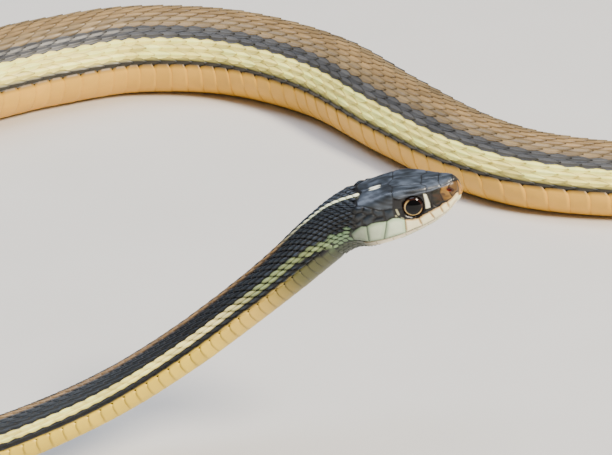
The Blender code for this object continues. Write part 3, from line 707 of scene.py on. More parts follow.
def set_mesh(name, points, polygons):
    """A smooth mesh object from points in mm and arrays of corners, one array for each number of corners."""
    mesh = bpy.data.meshes.new(name)
    corners = np.concatenate([rows.ravel() for rows in polygons])
    sizes = np.concatenate([np.full(len(rows), rows.shape[1]) for rows in polygons])
    mesh.vertices.add(len(points))
    mesh.vertices.foreach_set("co", (points * MM).ravel())
    mesh.loops.add(len(corners))
    mesh.loops.foreach_set("vertex_index", corners.astype(np.int32))
    mesh.polygons.add(len(sizes))
    mesh.polygons.foreach_set("loop_start", np.r_[0, np.cumsum(sizes)[:-1]].astype(np.int32))
    mesh.update(calc_edges=True)
    mesh.polygons.foreach_set("use_smooth", np.ones(len(sizes), bool))
    made = bpy.data.objects.new(name, mesh)
    bpy.context.scene.collection.objects.link(made)
    return made


def paint(piece, colours):
    """Stores a colour for each point of a piece, which its material reads."""
    layer = piece.data.attributes.new("markings", "FLOAT_COLOR", "POINT")
    layer.data.foreach_set("color", np.column_stack([colours, np.ones(len(colours))]).ravel())


STRIP = 180.0  # the length of body in each strip of the unwrap
STRIP_WIDTH = 0.125
HEAD_PATCH = (0.98, 0.75, 0.24)  # the head's length on the unwrap, its midline and its half width


def unwrap_place(at, share, face_at):
    """Where a place on the snake lies on the unwrap: the head above, the body in four strips below."""
    strip, on_head = np.floor(face_at / STRIP), at <= HEAD_END
    length, midline, half = HEAD_PATCH
    u = np.where(on_head, at / HEAD_END * length, (at - strip * STRIP) / STRIP)
    return u, np.where(on_head, midline + half * share, (strip + 0.5 + 0.5 * share) * STRIP_WIDTH)


def set_unwrap(piece, places):
    layer = piece.data.uv_layers.new(name="OFBake")
    layer.data.foreach_set("uv", np.column_stack(places).ravel())


def quad_grid(grid):
    """The faces between the points of a grid."""
    corners = grid[:-1, :-1], grid[:-1, 1:], grid[1:, 1:], grid[1:, :-1]
    return np.stack(corners, axis=-1).reshape(-1, 4)


def grid_rim(grid):
    """The points round the edge of a grid."""
    return np.concatenate([grid[0], grid[1:-1, -1], grid[-1, ::-1], grid[-2:0:-1, 0]])


def copied(faces, count, per):
    """One scale's faces for each of a number of scales, which have per points each."""
    return (faces + (np.arange(count) * per)[:, None, None]).reshape(-1, faces.shape[1])


SKIN_SUNK = 0.34  # the skin under the scales
SEAM_SUNK = 0.1  # the skin between the shields and the first scales
UNDER_TONE, NECK_UNDER_TONE = 0.35, 0.12  # the skin's brightness, as a share of its scales'
UNDER_TURNS = (60.0, 130.0)  # the neck's tone turns to the body's over this stretch
SEAM_DEPTH, SEAM_WIDTH, BARE_EDGE, PILLOW_REACH = 0.03, 0.15, 0.7, 0.02
NAPE_SINKS = (13.0, 16.0)  # the bare skin sinks to its place under the scales over this stretch
SMOOTH_THROAT, SMOOTH_THROAT_END = (0.46, 0.54), (21.4, 22.1)  # but not on the throat
HEAD_GRAIN = 0.09
SNOUT_GRAIN, SNOUT_REACH = 0.25, 1.5  # near the snout's tip the rings lie this much closer
HEAD_COUNT, NAPE_COUNT, BODY_COUNT = 288, 96, 32  # points of a ring
NAPE_RINGS = (22.5, 23.1, 23.8)
BODY_STEP = 1.5


def skin_rings():
    """The distances of the skin's rings, and how many points each ring has."""
    head = [0.0]
    while head[-1] < HEAD_END:
        head.append(head[-1] + HEAD_GRAIN * blend(SNOUT_GRAIN, 1.0, min(1.0, head[-1] / SNOUT_REACH)))
    rings = [(at, HEAD_COUNT) for at in head] + [(at, NAPE_COUNT) for at in NAPE_RINGS]
    start = NAPE_RINGS[-1] + 1.0
    for end in list(STRIP * np.arange(1, 4)) + [TAIL_END]:
        steps = int(round((end - start) / BODY_STEP))
        rings += [(at, BODY_COUNT) for at in np.linspace(start, end, steps, endpoint=False)]
        start = end
    return rings + [(TAIL_END, BODY_COUNT)]


def head_lift(at, share, shield, depth):
    """How far the head's skin stands over the plain form: pillowed shields, the mouth and the nostrils."""
    y = arc(at, np.abs(share))
    rise, run = (np.array([KINDS[kind][k] for kind in SHIELD_KINDS])[shield] for k in (1, 2))
    pillow = step(depth, -PILLOW_REACH, run) ** np.where(rise > DOMED, 0.5, 1.0)
    lift = rise * pillow - SEAM_DEPTH * (1.0 - step(depth, 0.0, SEAM_WIDTH))
    lift -= (SEAM_SUNK - SEAM_DEPTH) * (1.0 - step(depth, -SEAM_WIDTH, 0.0))
    smooth_throat = step(np.abs(share), *SMOOTH_THROAT) * (1.0 - step(at, *SMOOTH_THROAT_END))
    bare = (1.0 - step(depth, -BARE_EDGE, -SEAM_WIDTH)) * step(at, *NAPE_SINKS) * (1.0 - smooth_throat)
    lift -= (SKIN_SUNK - SEAM_SUNK) * bare
    fade = 1.0 - step(at, MOUTH_END - MOUTH_FADE, MOUTH_END + MOUTH_FADE)
    lift -= MOUTH_GROOVE * fade * np.exp(-(((y - arc(at, MOUTH_SHARE)) / MOUTH_GROOVE_WIDTH) ** 2))
    return lift - NOSTRIL_DEPTH * in_oval(at, y, *NOSTRIL_PIT)


CAP_RINGS = (0.88, 0.65, 0.35, 0.12)
CAP_BULGE = 0.22
ON_HEAD = HEAD_END + 0.2  # the head's shields, seams and marks are laid on this far
TAIL_THINS = 10.0  # the skin rises to the surface over this length of the tail's tip


def snout_cap(front):
    """The rings that close the snout over the skin's first ring."""
    forward, centre = frames(np.array(0.0))[1], front.mean(axis=0)
    return [centre + (front - centre) * f + forward * CAP_BULGE * math.sqrt(1 - f * f) for f in CAP_RINGS]


def ring_faces(first, count, next_first, next_count):
    """The faces between two rings. From a fine ring to a coarse one each face takes more of its points."""
    this, other = np.arange(next_count), np.roll(np.arange(next_count), -1)
    per = count // next_count
    fine = [first + (per * this + k) % count for k in range(per + 1)]
    return np.stack(fine + [next_first + other, next_first + this], axis=1)


def skin_faces(rings):
    """The skin's faces, one array for each number of corners, and the distances of the faces' middles."""
    starts, bands = np.r_[0, np.cumsum([count for _, count in rings])], []
    for i, ((near, count), (far, next_count)) in enumerate(zip(rings, rings[1:])):
        bands.append((0.5 * (near + far), ring_faces(starts[i], count, starts[i + 1], next_count)))
    inner = list(starts[-1] + HEAD_COUNT * np.arange(len(CAP_RINGS)))
    for outer, ring in zip([0] + inner, inner):
        bands.append((0.0, ring_faces(ring, HEAD_COUNT, outer, HEAD_COUNT)))
    groups = [[band for band in bands if band[1].shape[1] == corners] for corners in (4, 6)]
    groups.append([(0.0, inner[-1] + np.arange(HEAD_COUNT)[None, ::-1])])
    groups.append([(TAIL_END - 1.0, starts[-2] + np.arange(BODY_COUNT)[None])])
    faces = [np.vstack([rows for _, rows in group]) for group in groups]
    return faces, [np.concatenate([np.full(len(rows), at) for at, rows in group]) for group in groups]


def skin_places(at, share, faces, face_at):
    """The unwrap's place of each face corner. The cut runs along the belly, and a face stays in one strip."""
    corners = np.concatenate([rows.ravel() for rows in faces])
    middles = np.concatenate([np.repeat(places, rows.shape[1]) for places, rows in zip(face_at, faces)])
    first = np.concatenate([np.repeat(rows[:, 0], rows.shape[1]) for rows in faces])
    on_body = middles > HEAD_END
    here = np.where(on_body, np.maximum(at[corners], HEAD_END + 0.001), np.minimum(at[corners], HEAD_END))
    closing = (share[corners] == -1.0) & (share[first] > 0.5)
    return unwrap_place(here, np.where(closing, 1.0, share[corners]), middles)


def make_skin():
    rings = skin_rings()
    at = np.concatenate([np.full(count, place) for place, count in rings])
    share = np.concatenate([-1.0 + 2.0 * np.arange(count) / count for _, count in rings])
    pattern = unleaned(at, share)
    on_head = at <= ON_HEAD
    head_at, head_share, head_pattern = at[on_head], share[on_head], pattern[on_head]
    shield, depth = nearest_shield(head_at, head_pattern)
    lift = np.full(at.shape, -SKIN_SUNK)
    lift[on_head] = head_lift(head_at, head_share, shield, depth)
    lift *= np.clip((TAIL_END - at) / TAIL_THINS, 0.0, 1.0) ** 0.5
    points = surface(at, share, lift)
    points[on_head] = open_eyes(points[on_head])
    colours = markings(at, pattern) * blend(NECK_UNDER_TONE, UNDER_TONE, step(at, *UNDER_TURNS))[:, None]
    colours[on_head] = head_colours(head_at, head_share, head_pattern, shield, depth, points[on_head])
    faces, face_at = skin_faces(rings)
    skin = set_mesh("skin", np.vstack([points] + snout_cap(points[:HEAD_COUNT])), faces)
    with_cap = np.r_[np.arange(len(at)), np.tile(np.arange(HEAD_COUNT), len(CAP_RINGS))]
    paint(skin, colours[with_cap])
    set_unwrap(skin, skin_places(at[with_cap], share[with_cap], faces, face_at))
    return skin


# The keeled scales of the back and sides: 19 rows, of which each second row lies half a scale further back
ROW_TURN = 0.05  # the rows' spacing, as a share of the half section
ROWS = 9  # on each side of the row along the back
TAIL_ROW_TURN = 0.0864
TAIL_ROWS = 5
SCALE_PITCH = ((14.0, 0.78), (20.0, 0.98), (26.0, 1.5), (34.0, 1.8), (60.0, 2.05), (120.0, 2.5), (220.0, 3.1),
               (430.0, 3.2), (505.0, 2.8), (600.0, 2.1), (719.0, 1.2))
SCALE_START = ((0.0, 14.0), (0.06, 14.5), (0.12, 14.9), (0.2, 15.1), (0.3, 15.3), (0.35, 15.6), (0.4, 16.0),
               (0.46, 16.9), (0.5, 17.2), (0.68, 17.0), (0.74, 16.4), (0.765, 13.6), (0.85, 12.0),
               (0.95, 11.8), (1.0, 11.0))
LAST_SCALE = TAIL_END - 3.0
ROWS_ROUND = 40
THROAT_SCALES_END = 20.6
FULL_PITCH = 2.5  # scales of this pitch and over have their full relief
SCALE_LENGTH = 1.72  # in pitches, so that each scale covers the front of the next one
SCALE_WIDTH = 0.66  # half the width, in row spacings
SCALE_U = (0.0, 0.2, 0.42, 0.62, 0.8, 0.92, 1.0)
SCALE_B = (-1.0, -0.55, -0.15, 0.0, 0.15, 0.55, 1.0)
KEEL_RISE = 0.08
SCALE_DOME = 0.1
SCALE_THICK = 0.04
SCALE_FRONT, SCALE_REAR = -0.3, -0.02  # how far the underside lies over the body's surface
# The neck's scales are shorter and rounder, like beads, and stand apart on the dark skin
BEAD_REACH = (34.0, 85.0)  # they turn to the body's kind over this stretch
BEAD_FRONT, BEAD_REAR = -0.27, -0.12
BEAD_DOME, BEAD_LENGTH, BEAD_WIDTH = 0.24, 1.22, 0.53
BEAD_SKEW = 0.5  # each one's rear end lies this far up, in row spacings
# the painted sheen on the nape's dark beads fades out over this stretch
BEAD_SHEEN = (30.0, 48.0)
RELIEF = (0.75, 1.15)  # the small scales of the nape stand out nearly as far as the large ones
LENGTH_SPREAD, LIFT_SPREAD = (0.97, 1.03), 0.012
SCALE_CLEAR = 0.02  # the lowest scales lie this far over the floor
COLOUR_AT = 0.6  # a scale's colours are read this far along it
OWN_COLOURS = 0.45  # how far a scale's colours change over it, as a share of the pattern's own change
SCALE_TONES, SCALE_EDGE, NECK_EDGE, KEEL_HIGHLIGHT = 0.12, 0.35, 0.45, 0.25
NECK_FADE = (34.0, 52.0)
PATCH = 0.003  # the size of a scale's patch on the unwrap


def pitch_places(start, end):
    places = [start]
    while places[-1] < end:
        places.append(places[-1] + float(along(places[-1], SCALE_PITCH)))
    return np.array(places)


ROW_GRID = pitch_places(SCALE_START[-1][1] - 1.0, TAIL_END)


def row_spots(row, turn, low, high):
    """The fronts of the scales in one row: distance, share and row spacing."""
    share = row * turn
    places = ROW_GRID + (0.5 * along(ROW_GRID, SCALE_PITCH) if row % 2 else 0.0)
    first = max(low, along(1.0 - abs(1.0 - abs(share)), SCALE_START))
    return [(at, share if share <= 1.0 else share - 2.0, turn) for at in places if first <= at < high]


def scale_spots(start, end):
    """The front of each scale on one length of the snake."""
    spots = []
    for rows, turn, low, high in ((ROWS, ROW_TURN, start, min(end, VENT)),
                                  (TAIL_ROWS, TAIL_ROW_TURN, max(start, VENT), end)):
        for row in range(-rows, rows + 1):
            spots += row_spots(row, turn, low, min(high, LAST_SCALE))
    return np.array(spots)


def throat_spots():
    """The smooth scales of the throat, between the chin's shields and the first scutes of the belly."""
    rows = range(ROWS + 1, ROWS_ROUND - ROWS)
    return np.array([spot for row in rows for spot in row_spots(row, ROW_TURN, 0.0, THROAT_SCALES_END)])


def scale_faces():
    """One scale's faces: a gridded top with a rim, and a closed underside."""
    grid = np.arange(len(SCALE_U) * len(SCALE_B)).reshape(len(SCALE_U), -1)
    rim = grid_rim(grid)
    low = grid.size + np.arange(len(rim))
    edges = np.stack([rim, low, np.roll(low, 1), np.roll(rim, 1)], axis=1)
    return np.vstack([quad_grid(grid), edges]), low[None, ::-1], rim


def scale_outline(u):
    """A scale's half width along it, blunt in front and drawn in behind."""
    oval_half = np.maximum(1.0 - np.abs(2.0 * u - 0.9) ** 2.4, 0.0) ** 0.6
    return np.maximum(oval_half, np.where(u < 0.5, 0.45, 0.14))


def scale_relief(u, b, bead, keel):
    """How far a scale's top stands over its underside: a dome, rounder on a bead, and a keel."""
    rounded = 1.0 - bead * (1.0 - np.sqrt(np.maximum(1.0 - ((u - 0.6) / 0.42) ** 2, 0.0)))
    dome = blend(SCALE_DOME, BEAD_DOME, bead * keel) * (1.0 - b**2) * rounded
    return SCALE_THICK + dome, keel * KEEL_RISE * np.exp(-((b / 0.2) ** 2)) * step(u, 0.0, 0.2)


def make_scales(name, spots, keel, seed):
    draw = np.random.default_rng(seed)
    quads, base, rim = scale_faces()
    u, b = (grid.ravel() for grid in np.meshgrid(SCALE_U, SCALE_B, indexing="ij"))
    all_u, all_b = (np.r_[values, values[rim]] for values in (u, b))
    at0, share0, turn = spots.T
    count, per = len(spots), len(all_u)
    pitch = along(at0, SCALE_PITCH)
    size = np.clip(pitch / FULL_PITCH, *RELIEF)[:, None]
    bead = (1.0 - step(at0, *BEAD_REACH))[:, None]
    spread = draw.uniform(*LENGTH_SPREAD, count)
    length = blend(SCALE_LENGTH, BEAD_LENGTH, bead) * (pitch * spread)[:, None]
    at = at0[:, None] + u * length
    skew = -np.sign(share0)[:, None] * BEAD_SKEW * bead * (u - 0.5)
    wide = b * scale_outline(u) * blend(SCALE_WIDTH, BEAD_WIDTH, bead)
    share = share0[:, None] + (skew + wide) * turn[:, None]
    under = blend(blend(SCALE_FRONT, BEAD_FRONT, bead), blend(SCALE_REAR, BEAD_REAR, bead), u)
    crown, ridge = scale_relief(u, b, bead, keel)
    top = size * (under + crown + ridge + draw.normal(0.0, LIFT_SPREAD, (count, 1)))
    all_at, all_share = (np.hstack([values, values[:, rim]]) for values in (at, share))
    lift = np.hstack([top, (size * under)[:, rim]]).ravel()
    on_body = wrapped(leaned(all_at, all_share)).ravel()
    points = surface(np.minimum(all_at, TAIL_END).ravel(), on_body, lift)
    points[:, 2] = np.maximum(points[:, 2], SCALE_CLEAR)
    piece = set_mesh(name, points, [copied(faces, count, per) for faces in (quads, base)])
    paint(piece, scale_colours(all_share, at0, share0, length, draw, all_u, all_b))
    add_patches(piece, at0 + 0.5 * length[:, 0], share0, [quads, base], all_u, 0.5 + 0.5 * all_b)
    return piece


def wrapped(share):
    return np.where(share > 1.0, share - 2.0, np.where(share < -1.0, share + 2.0, share))


def scale_colours(share, at0, share0, length, draw, u, b):
    """Each scale takes most of its colour from its middle row, so the stripes' edges follow the scales. A
    painted sheen lies on the nape's dark beads, and a painted highlight along each keel.
    """
    middle_at = np.broadcast_to(at0[:, None] + COLOUR_AT * length, share.shape)
    own_share = share0[:, None] + OWN_COLOURS * (share - share0[:, None])
    colour = markings(middle_at.ravel(), wrapped(own_share.ravel())).reshape(*share.shape, 3)
    tone = 1.0 + SCALE_TONES * draw.normal(size=(len(share), 1, 1))
    edge = np.maximum(step(np.abs(b), 0.55, 1.0), step(u, 0.82, 1.0))[None, :, None]
    # Painted highlight along each scale's keel
    keel = (np.exp(-((b / 0.18) ** 2)) * step(u, 0.25, 0.5))[None, :, None]
    on_neck = (1.0 - step(at0, *NECK_FADE))[:, None, None]
    # Painted highlight: a blue-grey sheen on the middle of each dark bead of the nape
    bead = np.exp(-((b / 0.5) ** 2)) * step(u, 0.35, 0.55) * (1.0 - step(u, 0.72, 0.92))
    black = 1.0 - step(colour.max(axis=2), 0.015, 0.06)
    colour = mix(colour, ink("bead"), 0.8 * bead[None] * black * (1.0 - step(at0, *BEAD_SHEEN))[:, None])
    pale = step(colour.max(axis=2), 0.4, 0.7)[..., None]
    shade = 1.0 - (SCALE_EDGE + NECK_EDGE * on_neck) * (1.0 - 0.5 * pale) * edge
    return np.clip(colour * tone * shade * (1.0 + KEEL_HIGHLIGHT * keel), 0.0, 1.0).reshape(-1, 3)


def add_patches(piece, at, share, faces, u, v):
    """Gives each scale a small patch of its own on the unwrap, at its root's place."""
    places = []
    for root, inner in zip(unwrap_place(at, wrapped(share), at), (u, v)):
        patches = [root[:, None] + PATCH * (inner[rows.ravel()] - 0.5) for rows in faces]
        places.append(np.concatenate([patch.ravel() for patch in patches]))
    set_unwrap(piece, places)


# The wide scutes of the belly, in one row to the vent and in pairs under the tail
SCUTE_START = 21.4
SCUTE_EDGE = 0.47  # their upper ends, as a share of the half section
SCUTE_U = (0.0, 0.3, 0.6, 0.85, 1.0)
SCUTE_STEPS = 24
SCUTE_LENGTH = 1.3
SCUTE_FRONT, SCUTE_REAR = -0.08, -0.03
SCUTE_THICK = 0.06
SCUTE_ROUNDS, SCUTE_ROUND_WIDTH = 0.42, 0.09  # their upper ends are rounded by this much over this width
PAIR_GAP = 0.002  # between the two scutes of a pair, on each side of the midline
FIRST_SCUTE_SUNK, FIRST_SCUTE_REACH = 0.14, 1.2  # the first one's front goes under the skin of the throat
SCUTE_SEAM, SCUTE_SEAM_TINT = 0.07, (1.0, 1.25, 1.5)  # their seams are this much darker, and yellower
SCUTE_TONES, SCUTE_PALEST, SCUTE_LIFT_SPREAD = 0.04, 1.06, 0.008


def scute_spots():
    """Each scute's front, and its first and last share going round under the belly."""
    spots, last = [], 2.0 - SCUTE_EDGE
    for at in pitch_places(SCUTE_START, LAST_SCALE):
        if at < VENT:
            spots.append((at, SCUTE_EDGE, last))
        else:
            spots.append((at, SCUTE_EDGE, 1.0 - PAIR_GAP))
            spots.append((at + 0.5 * along(at, SCALE_PITCH), 1.0 + PAIR_GAP, last))
    return np.array(spots)


def scute_faces(grid):
    """One scute's faces: its outer side, its inner side and its edges."""
    outer, rim = quad_grid(grid), grid_rim(grid)
    edges = np.stack([rim, np.roll(rim, 1), np.roll(rim, 1) + grid.size, rim + grid.size], axis=1)
    return np.vstack([outer, outer[:, ::-1] + grid.size, edges])


def make_scutes(name, spots, seed):
    draw = np.random.default_rng(seed)
    grid = np.arange(len(SCUTE_U) * (SCUTE_STEPS + 1)).reshape(len(SCUTE_U), -1)
    across = np.linspace(0.0, 1.0, SCUTE_STEPS + 1)
    u, v = (place.ravel() for place in np.meshgrid(SCUTE_U, across, indexing="ij"))
    at0, first, last = (column[:, None] for column in spots.T)
    count = len(spots)
    pitch = along(at0, SCALE_PITCH)
    share = blend(first, last, v)
    from_end = np.minimum(np.abs(share - SCUTE_EDGE), np.abs(2.0 - SCUTE_EDGE - share))
    round_end = 1.0 - SCUTE_ROUNDS * (1.0 - np.clip(from_end / SCUTE_ROUND_WIDTH, 0.0, 1.0)) ** 2
    length = SCUTE_LENGTH * pitch
    at = at0 + length * (0.5 + (u - 0.5) * round_end)
    lift = np.minimum(pitch / FULL_PITCH, 1.0) * blend(SCUTE_FRONT, SCUTE_REAR, u)
    lift = lift + draw.normal(0.0, SCUTE_LIFT_SPREAD, (count, 1))
    lift -= FIRST_SCUTE_SUNK * (1.0 - step(at, SCUTE_START, SCUTE_START + FIRST_SCUTE_REACH))
    sides = []
    for depth in (0.0, SCUTE_THICK):
        side = surface(np.minimum(at, TAIL_END).ravel(), wrapped(share).ravel(), (lift - depth).ravel())
        side[:, 2] = np.maximum(side[:, 2], depth)
        sides.append(side.reshape(count, -1, 3))
    faces = scute_faces(grid)
    piece = set_mesh(name, np.hstack(sides).reshape(-1, 3), [copied(faces, count, 2 * grid.size)])
    seam = np.maximum(1.0 - step(u, 0.2, 0.34), step(u, 0.93, 1.0))[None, :, None]
    tone = np.minimum(1.0 + SCUTE_TONES * draw.normal(size=(count, 1, 1)), SCUTE_PALEST)
    colour = markings(at.ravel(), wrapped(share).ravel()).reshape(count, -1, 3)
    colour = np.clip(colour * (1.0 - SCUTE_SEAM * seam * SCUTE_SEAM_TINT) * tone, 0.0, 1.0)
    paint(piece, np.hstack([colour, colour]).reshape(-1, 3))
    middle_share = (0.5 * (first + last) * 0.999)[:, 0]  # short of the unwrap's cut
    add_patches(piece, (at0 + 0.5 * length)[:, 0], middle_share, [faces], np.r_[u, u], np.r_[v, v])
    return piece


# Painted shade on the iris ring: gold this way, dark brown the other way, towards the snout and up
RING_BRIGHT = (-0.8, -0.6)  # the gold ring is brightest this way: backwards and down
SPHERE_SEGMENTS, SPHERE_RINGS = 72, 48


def make_eye(name, side):
    """The clear cap over the eye, a flattened ball, with each point's distance from the pupil's middle."""
    centre, look = eye_axes(side)
    _, forward, _, up = frames(np.array(EYE_AT))
    across = unit(np.cross(look, up))
    turn = np.stack([across, np.cross(look, across), look], axis=1)
    bpy.ops.object.select_all(action="DESELECT")
    bpy.ops.mesh.primitive_uv_sphere_add(segments=SPHERE_SEGMENTS, ring_count=SPHERE_RINGS, radius=1.0)
    eye = bpy.context.object
    eye.name = name
    ball = np.empty(len(eye.data.vertices) * 3)
    eye.data.vertices.foreach_get("co", ball)
    ball = ball.reshape(-1, 3) * (EYE_RADIUS, EYE_RADIUS, EYE_DEPTH)
    from_pupil = np.where(ball[:, 2] > 0, np.hypot(ball[:, 0], ball[:, 1]), EYE_RADIUS) / EYE_RADIUS
    outward = unit((ball * (1.0, 1.0, 0.0)) @ turn.T)
    lit = outward @ (RING_BRIGHT[0] * forward + RING_BRIGHT[1] * up)
    eye.data.vertices.foreach_set("co", ((ball @ turn.T + centre) * MM).ravel())
    for label, values in (("from_pupil", from_pupil), ("ring_light", 0.5 + 0.5 * lit)):
        layer = eye.data.attributes.new(label, "FLOAT", "POINT")
        layer.data.foreach_set("value", values)
    eye.data.shade_smooth()
    return eye


def add_node(tree, kind, links=(), **settings):
    """Adds a node, sets its properties and sockets by name, and links (socket, other node's output) pairs."""
    node = tree.nodes.new(kind)
    for key, value in settings.items():
        if hasattr(node, key):
            setattr(node, key, value)
        else:
            node.inputs[key.replace("_", " ")].default_value = value
    for socket, source in links:
        tree.links.new(source, node.inputs[socket])
    return node


def new_material(name):
    made = bpy.data.materials.new(name)
    made.use_nodes = True
    tree = made.node_tree
    return made, tree, tree.nodes["Principled BSDF"]


COARSE_GRAIN = 6.0  # the pigment's blotches, in grains
GLOSS_SPREAD = 0.08


def keratin(name, roughness, grain_mm, bump_mm, variation):
    """Snake keratin, a thin horny layer over pigment: satin, with a fine grain and uneven pigment."""
    made, tree, shader = new_material(name)
    place = add_node(tree, "ShaderNodeTexCoord").outputs["Object"]
    pigment = add_node(tree, "ShaderNodeAttribute", attribute_name="markings").outputs["Color"]
    blotch = add_node(tree, "ShaderNodeTexNoise", [("Vector", place)],
                      Scale=1.0 / (grain_mm * COARSE_GRAIN * MM), Detail=3.0)
    fine = add_node(tree, "ShaderNodeTexNoise", [("Vector", place)], Scale=1.0 / (grain_mm * MM), Detail=2.0)
    tone = add_node(tree, "ShaderNodeMapRange", [("Value", blotch.outputs["Fac"])],
                    From_Min=0.3, From_Max=0.7, To_Min=1.0 - variation, To_Max=1.0 + variation)
    shaded = add_node(tree, "ShaderNodeVectorMath", [(0, pigment), (1, tone.outputs["Result"])],
                      operation="MULTIPLY")
    tree.links.new(shaded.outputs["Vector"], shader.inputs["Base Color"])
    gloss = add_node(tree, "ShaderNodeMapRange", [("Value", fine.outputs["Fac"])],
                     To_Min=roughness - GLOSS_SPREAD, To_Max=roughness + GLOSS_SPREAD)
    tree.links.new(gloss.outputs["Result"], shader.inputs["Roughness"])
    bump = add_node(tree, "ShaderNodeBump", [("Height", fine.outputs["Fac"])],
                    Strength=0.5, Distance=bump_mm * MM)
    tree.links.new(bump.outputs["Normal"], shader.inputs["Normal"])
    shader.inputs["IOR"].default_value = 1.5
    return made


def iris_stops(ring, rim):
    """The eye's colours from the pupil's middle outwards, as shares of its radius."""
    inner, outer = (size / EYE_RADIUS for size in IRIS_RING)
    return ((0.0, "#040404"), (inner - 0.03, "#060505"), (inner + 0.01, ring), (outer - 0.04, ring),
            (outer, rim), (outer + 0.07, "#120C0A"))


def eye_cap():
    """A snake's clear eye scale, glossy over a round black pupil in a thin gold ring and a dark iris. The
    ring carries painted shade, turning dark brown towards the snout and up.
    """
    made, tree, shader = new_material("clear eye scale")
    radius = add_node(tree, "ShaderNodeAttribute", attribute_name="from_pupil").outputs["Fac"]
    light = add_node(tree, "ShaderNodeAttribute", attribute_name="ring_light").outputs["Fac"]
    # Painted shade: gold on the ring's lit side, dark brown towards the snout and up
    gold = add_node(tree, "ShaderNodeMapRange", [("Value", light)], From_Min=0.25, From_Max=0.6)
    shares = [(0, gold.outputs["Result"])]
    for socket, ring, rim in ((6, "#2C1610", "#160C0A"), (7, "#D8B878", "#6A4424")):
        ramp = add_node(tree, "ShaderNodeValToRGB", [("Fac", radius)])
        for i, (place, code) in enumerate(iris_stops(ring, rim)):
            stop = ramp.color_ramp.elements[i] if i < 2 else ramp.color_ramp.elements.new(place)
            stop.position = place
            stop.color = (*linear(code), 1.0)
        shares.append((socket, ramp.outputs["Color"]))
    both = add_node(tree, "ShaderNodeMix", shares, data_type="RGBA")
    tree.links.new(both.outputs[2], shader.inputs["Base Color"])
    for name, value in (("Specular IOR Level", 0.3), ("Roughness", 0.06), ("IOR", 1.45)):
        shader.inputs[name].default_value = value
    return made


FLOOR_SIZE = 6.0
FLOOR_DROP = 0.0002  # so that the belly doesn't flicker through it


def paper():
    """Matt pale paper, with a faint grain, so that the eye reads the snake's shadow."""
    made, tree, shader = new_material("pale paper floor")
    place = add_node(tree, "ShaderNodeTexCoord").outputs["Object"]
    grain = add_node(tree, "ShaderNodeTexNoise", [("Vector", place)], Scale=40.0, Detail=4.0)
    ramp = add_node(tree, "ShaderNodeValToRGB", [("Fac", grain.outputs["Fac"])])
    for stop, code in zip(ramp.color_ramp.elements, ("#C9C7C2", "#D2D0CB")):
        stop.color = (*linear(code), 1.0)
    tree.links.new(ramp.outputs["Color"], shader.inputs["Base Color"])
    shader.inputs["Roughness"].default_value = 0.9
    return made


def make_stage():
    bpy.ops.object.select_all(action="DESELECT")
    bpy.ops.mesh.primitive_plane_add(size=FLOOR_SIZE, location=(0.0, 0.0, -FLOOR_DROP))
    floor = bpy.context.object
    floor.name = "studio_floor"
    floor.data.materials.append(paper())


def area_light(name, place, aim, size, power, code):
    light = bpy.data.lights.new(name, "AREA")
    light.shape = "DISK"
    light.size = size
    light.energy = power
    light.color = linear(code)
    made = bpy.data.objects.new(name, light)
    bpy.context.scene.collection.objects.link(made)
    made.location = place
    made.rotation_euler = (Vector(aim) - Vector(place)).to_track_quat("-Z", "Y").to_euler()


def light_studio():
    area_light("sky_softbox", (-0.25, -0.1, 1.5), (0.0, 0.0, 0.0), size=1.2, power=21.0, code="#DCE8FF")
    area_light("key_softbox", (0.95, -0.75, 1.25), (0.0, 0.0, 0.02), size=0.5, power=66.0, code="#FFF2DE")
    area_light("window_softbox", (-0.8, 0.3, 1.0), (0.0, -0.05, 0.03), size=0.5, power=5.0, code="#D4E2FF")
    world = bpy.data.worlds.new("studio air")
    world.use_nodes = True
    air = world.node_tree.nodes["Background"].inputs
    air["Color"].default_value = (*linear("#DDE2E8"), 1.0)
    air["Strength"].default_value = 0.26
    bpy.context.scene.world = world


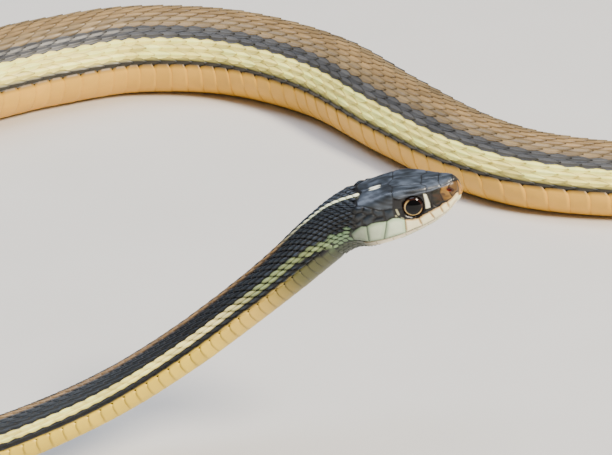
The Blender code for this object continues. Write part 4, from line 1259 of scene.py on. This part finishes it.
def set_camera():
    lens = bpy.data.cameras.new("camera")
    lens.lens = CAMERA_LENS
    lens.sensor_width = CAMERA_SENSOR
    lens.sensor_fit = "HORIZONTAL"
    lens.clip_end = 50.0
    camera = bpy.data.objects.new("camera", lens)
    bpy.context.scene.collection.objects.link(camera)
    x, y, z = CAMERA_PLACE
    camera.location = Vector((x + PLACE[0], y + PLACE[1], z)) * MM
    camera.rotation_euler = (math.radians(90.0 - CAMERA_DOWN), 0.0, 0.0)
    bpy.context.scene.camera = camera


BODY_NODES = ("neck", "forebody_1", "forebody_2", "midbody_1", "midbody_2", "midbody_3",
              "hindbody_1", "hindbody_2", "tail_1", "tail_2", "tail_3")
SCALE_LENGTHS = (
    ("neck_scales", 14.0, 130.0), ("forebody_scales", 130.0, 270.0), ("midbody_scales", 270.0, 400.0),
    ("hindbody_scales", 400.0, VENT), ("tail_scales", VENT, TAIL_END),
)


def add_piece(piece, finish, slot, *nodes):
    piece.data.materials.append(finish)
    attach(piece, "root")
    if nodes:
        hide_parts(*nodes)


def main():
    set_camera()
    skin_finish = keratin("head keratin", roughness=0.36, grain_mm=0.35, bump_mm=0.012, variation=0.10)
    scale_finish = keratin("scale keratin", roughness=0.42, grain_mm=0.5, bump_mm=0.02, variation=0.16)
    scute_finish = keratin("belly keratin", roughness=0.46, grain_mm=0.6, bump_mm=0.012, variation=0.06)
    add_piece(make_skin(), skin_finish, "head_skin", "head", "lower_jaw", *BODY_NODES)
    for seed, (name, start, end) in enumerate(SCALE_LENGTHS, start=11):
        add_piece(make_scales(name, scale_spots(start, end), 1.0, seed), scale_finish, "body_skin")
    add_piece(make_scales("throat_scales", throat_spots(), keel=0.0, seed=31), scute_finish, "body_skin")
    spots = scute_spots()
    add_piece(make_scutes("belly_scutes", spots[spots[:, 0] < VENT], seed=41), scute_finish, "body_skin")
    add_piece(make_scutes("tail_scutes", spots[spots[:, 0] >= VENT], seed=42), scute_finish, "body_skin")
    cap_finish = eye_cap()
    add_piece(make_eye("left_eye_cap", 1.0), cap_finish, "eye", "eye_left")
    add_piece(make_eye("right_eye_cap", -1.0), cap_finish, "eye", "eye_right")
    make_stage()
    light_studio()


main()
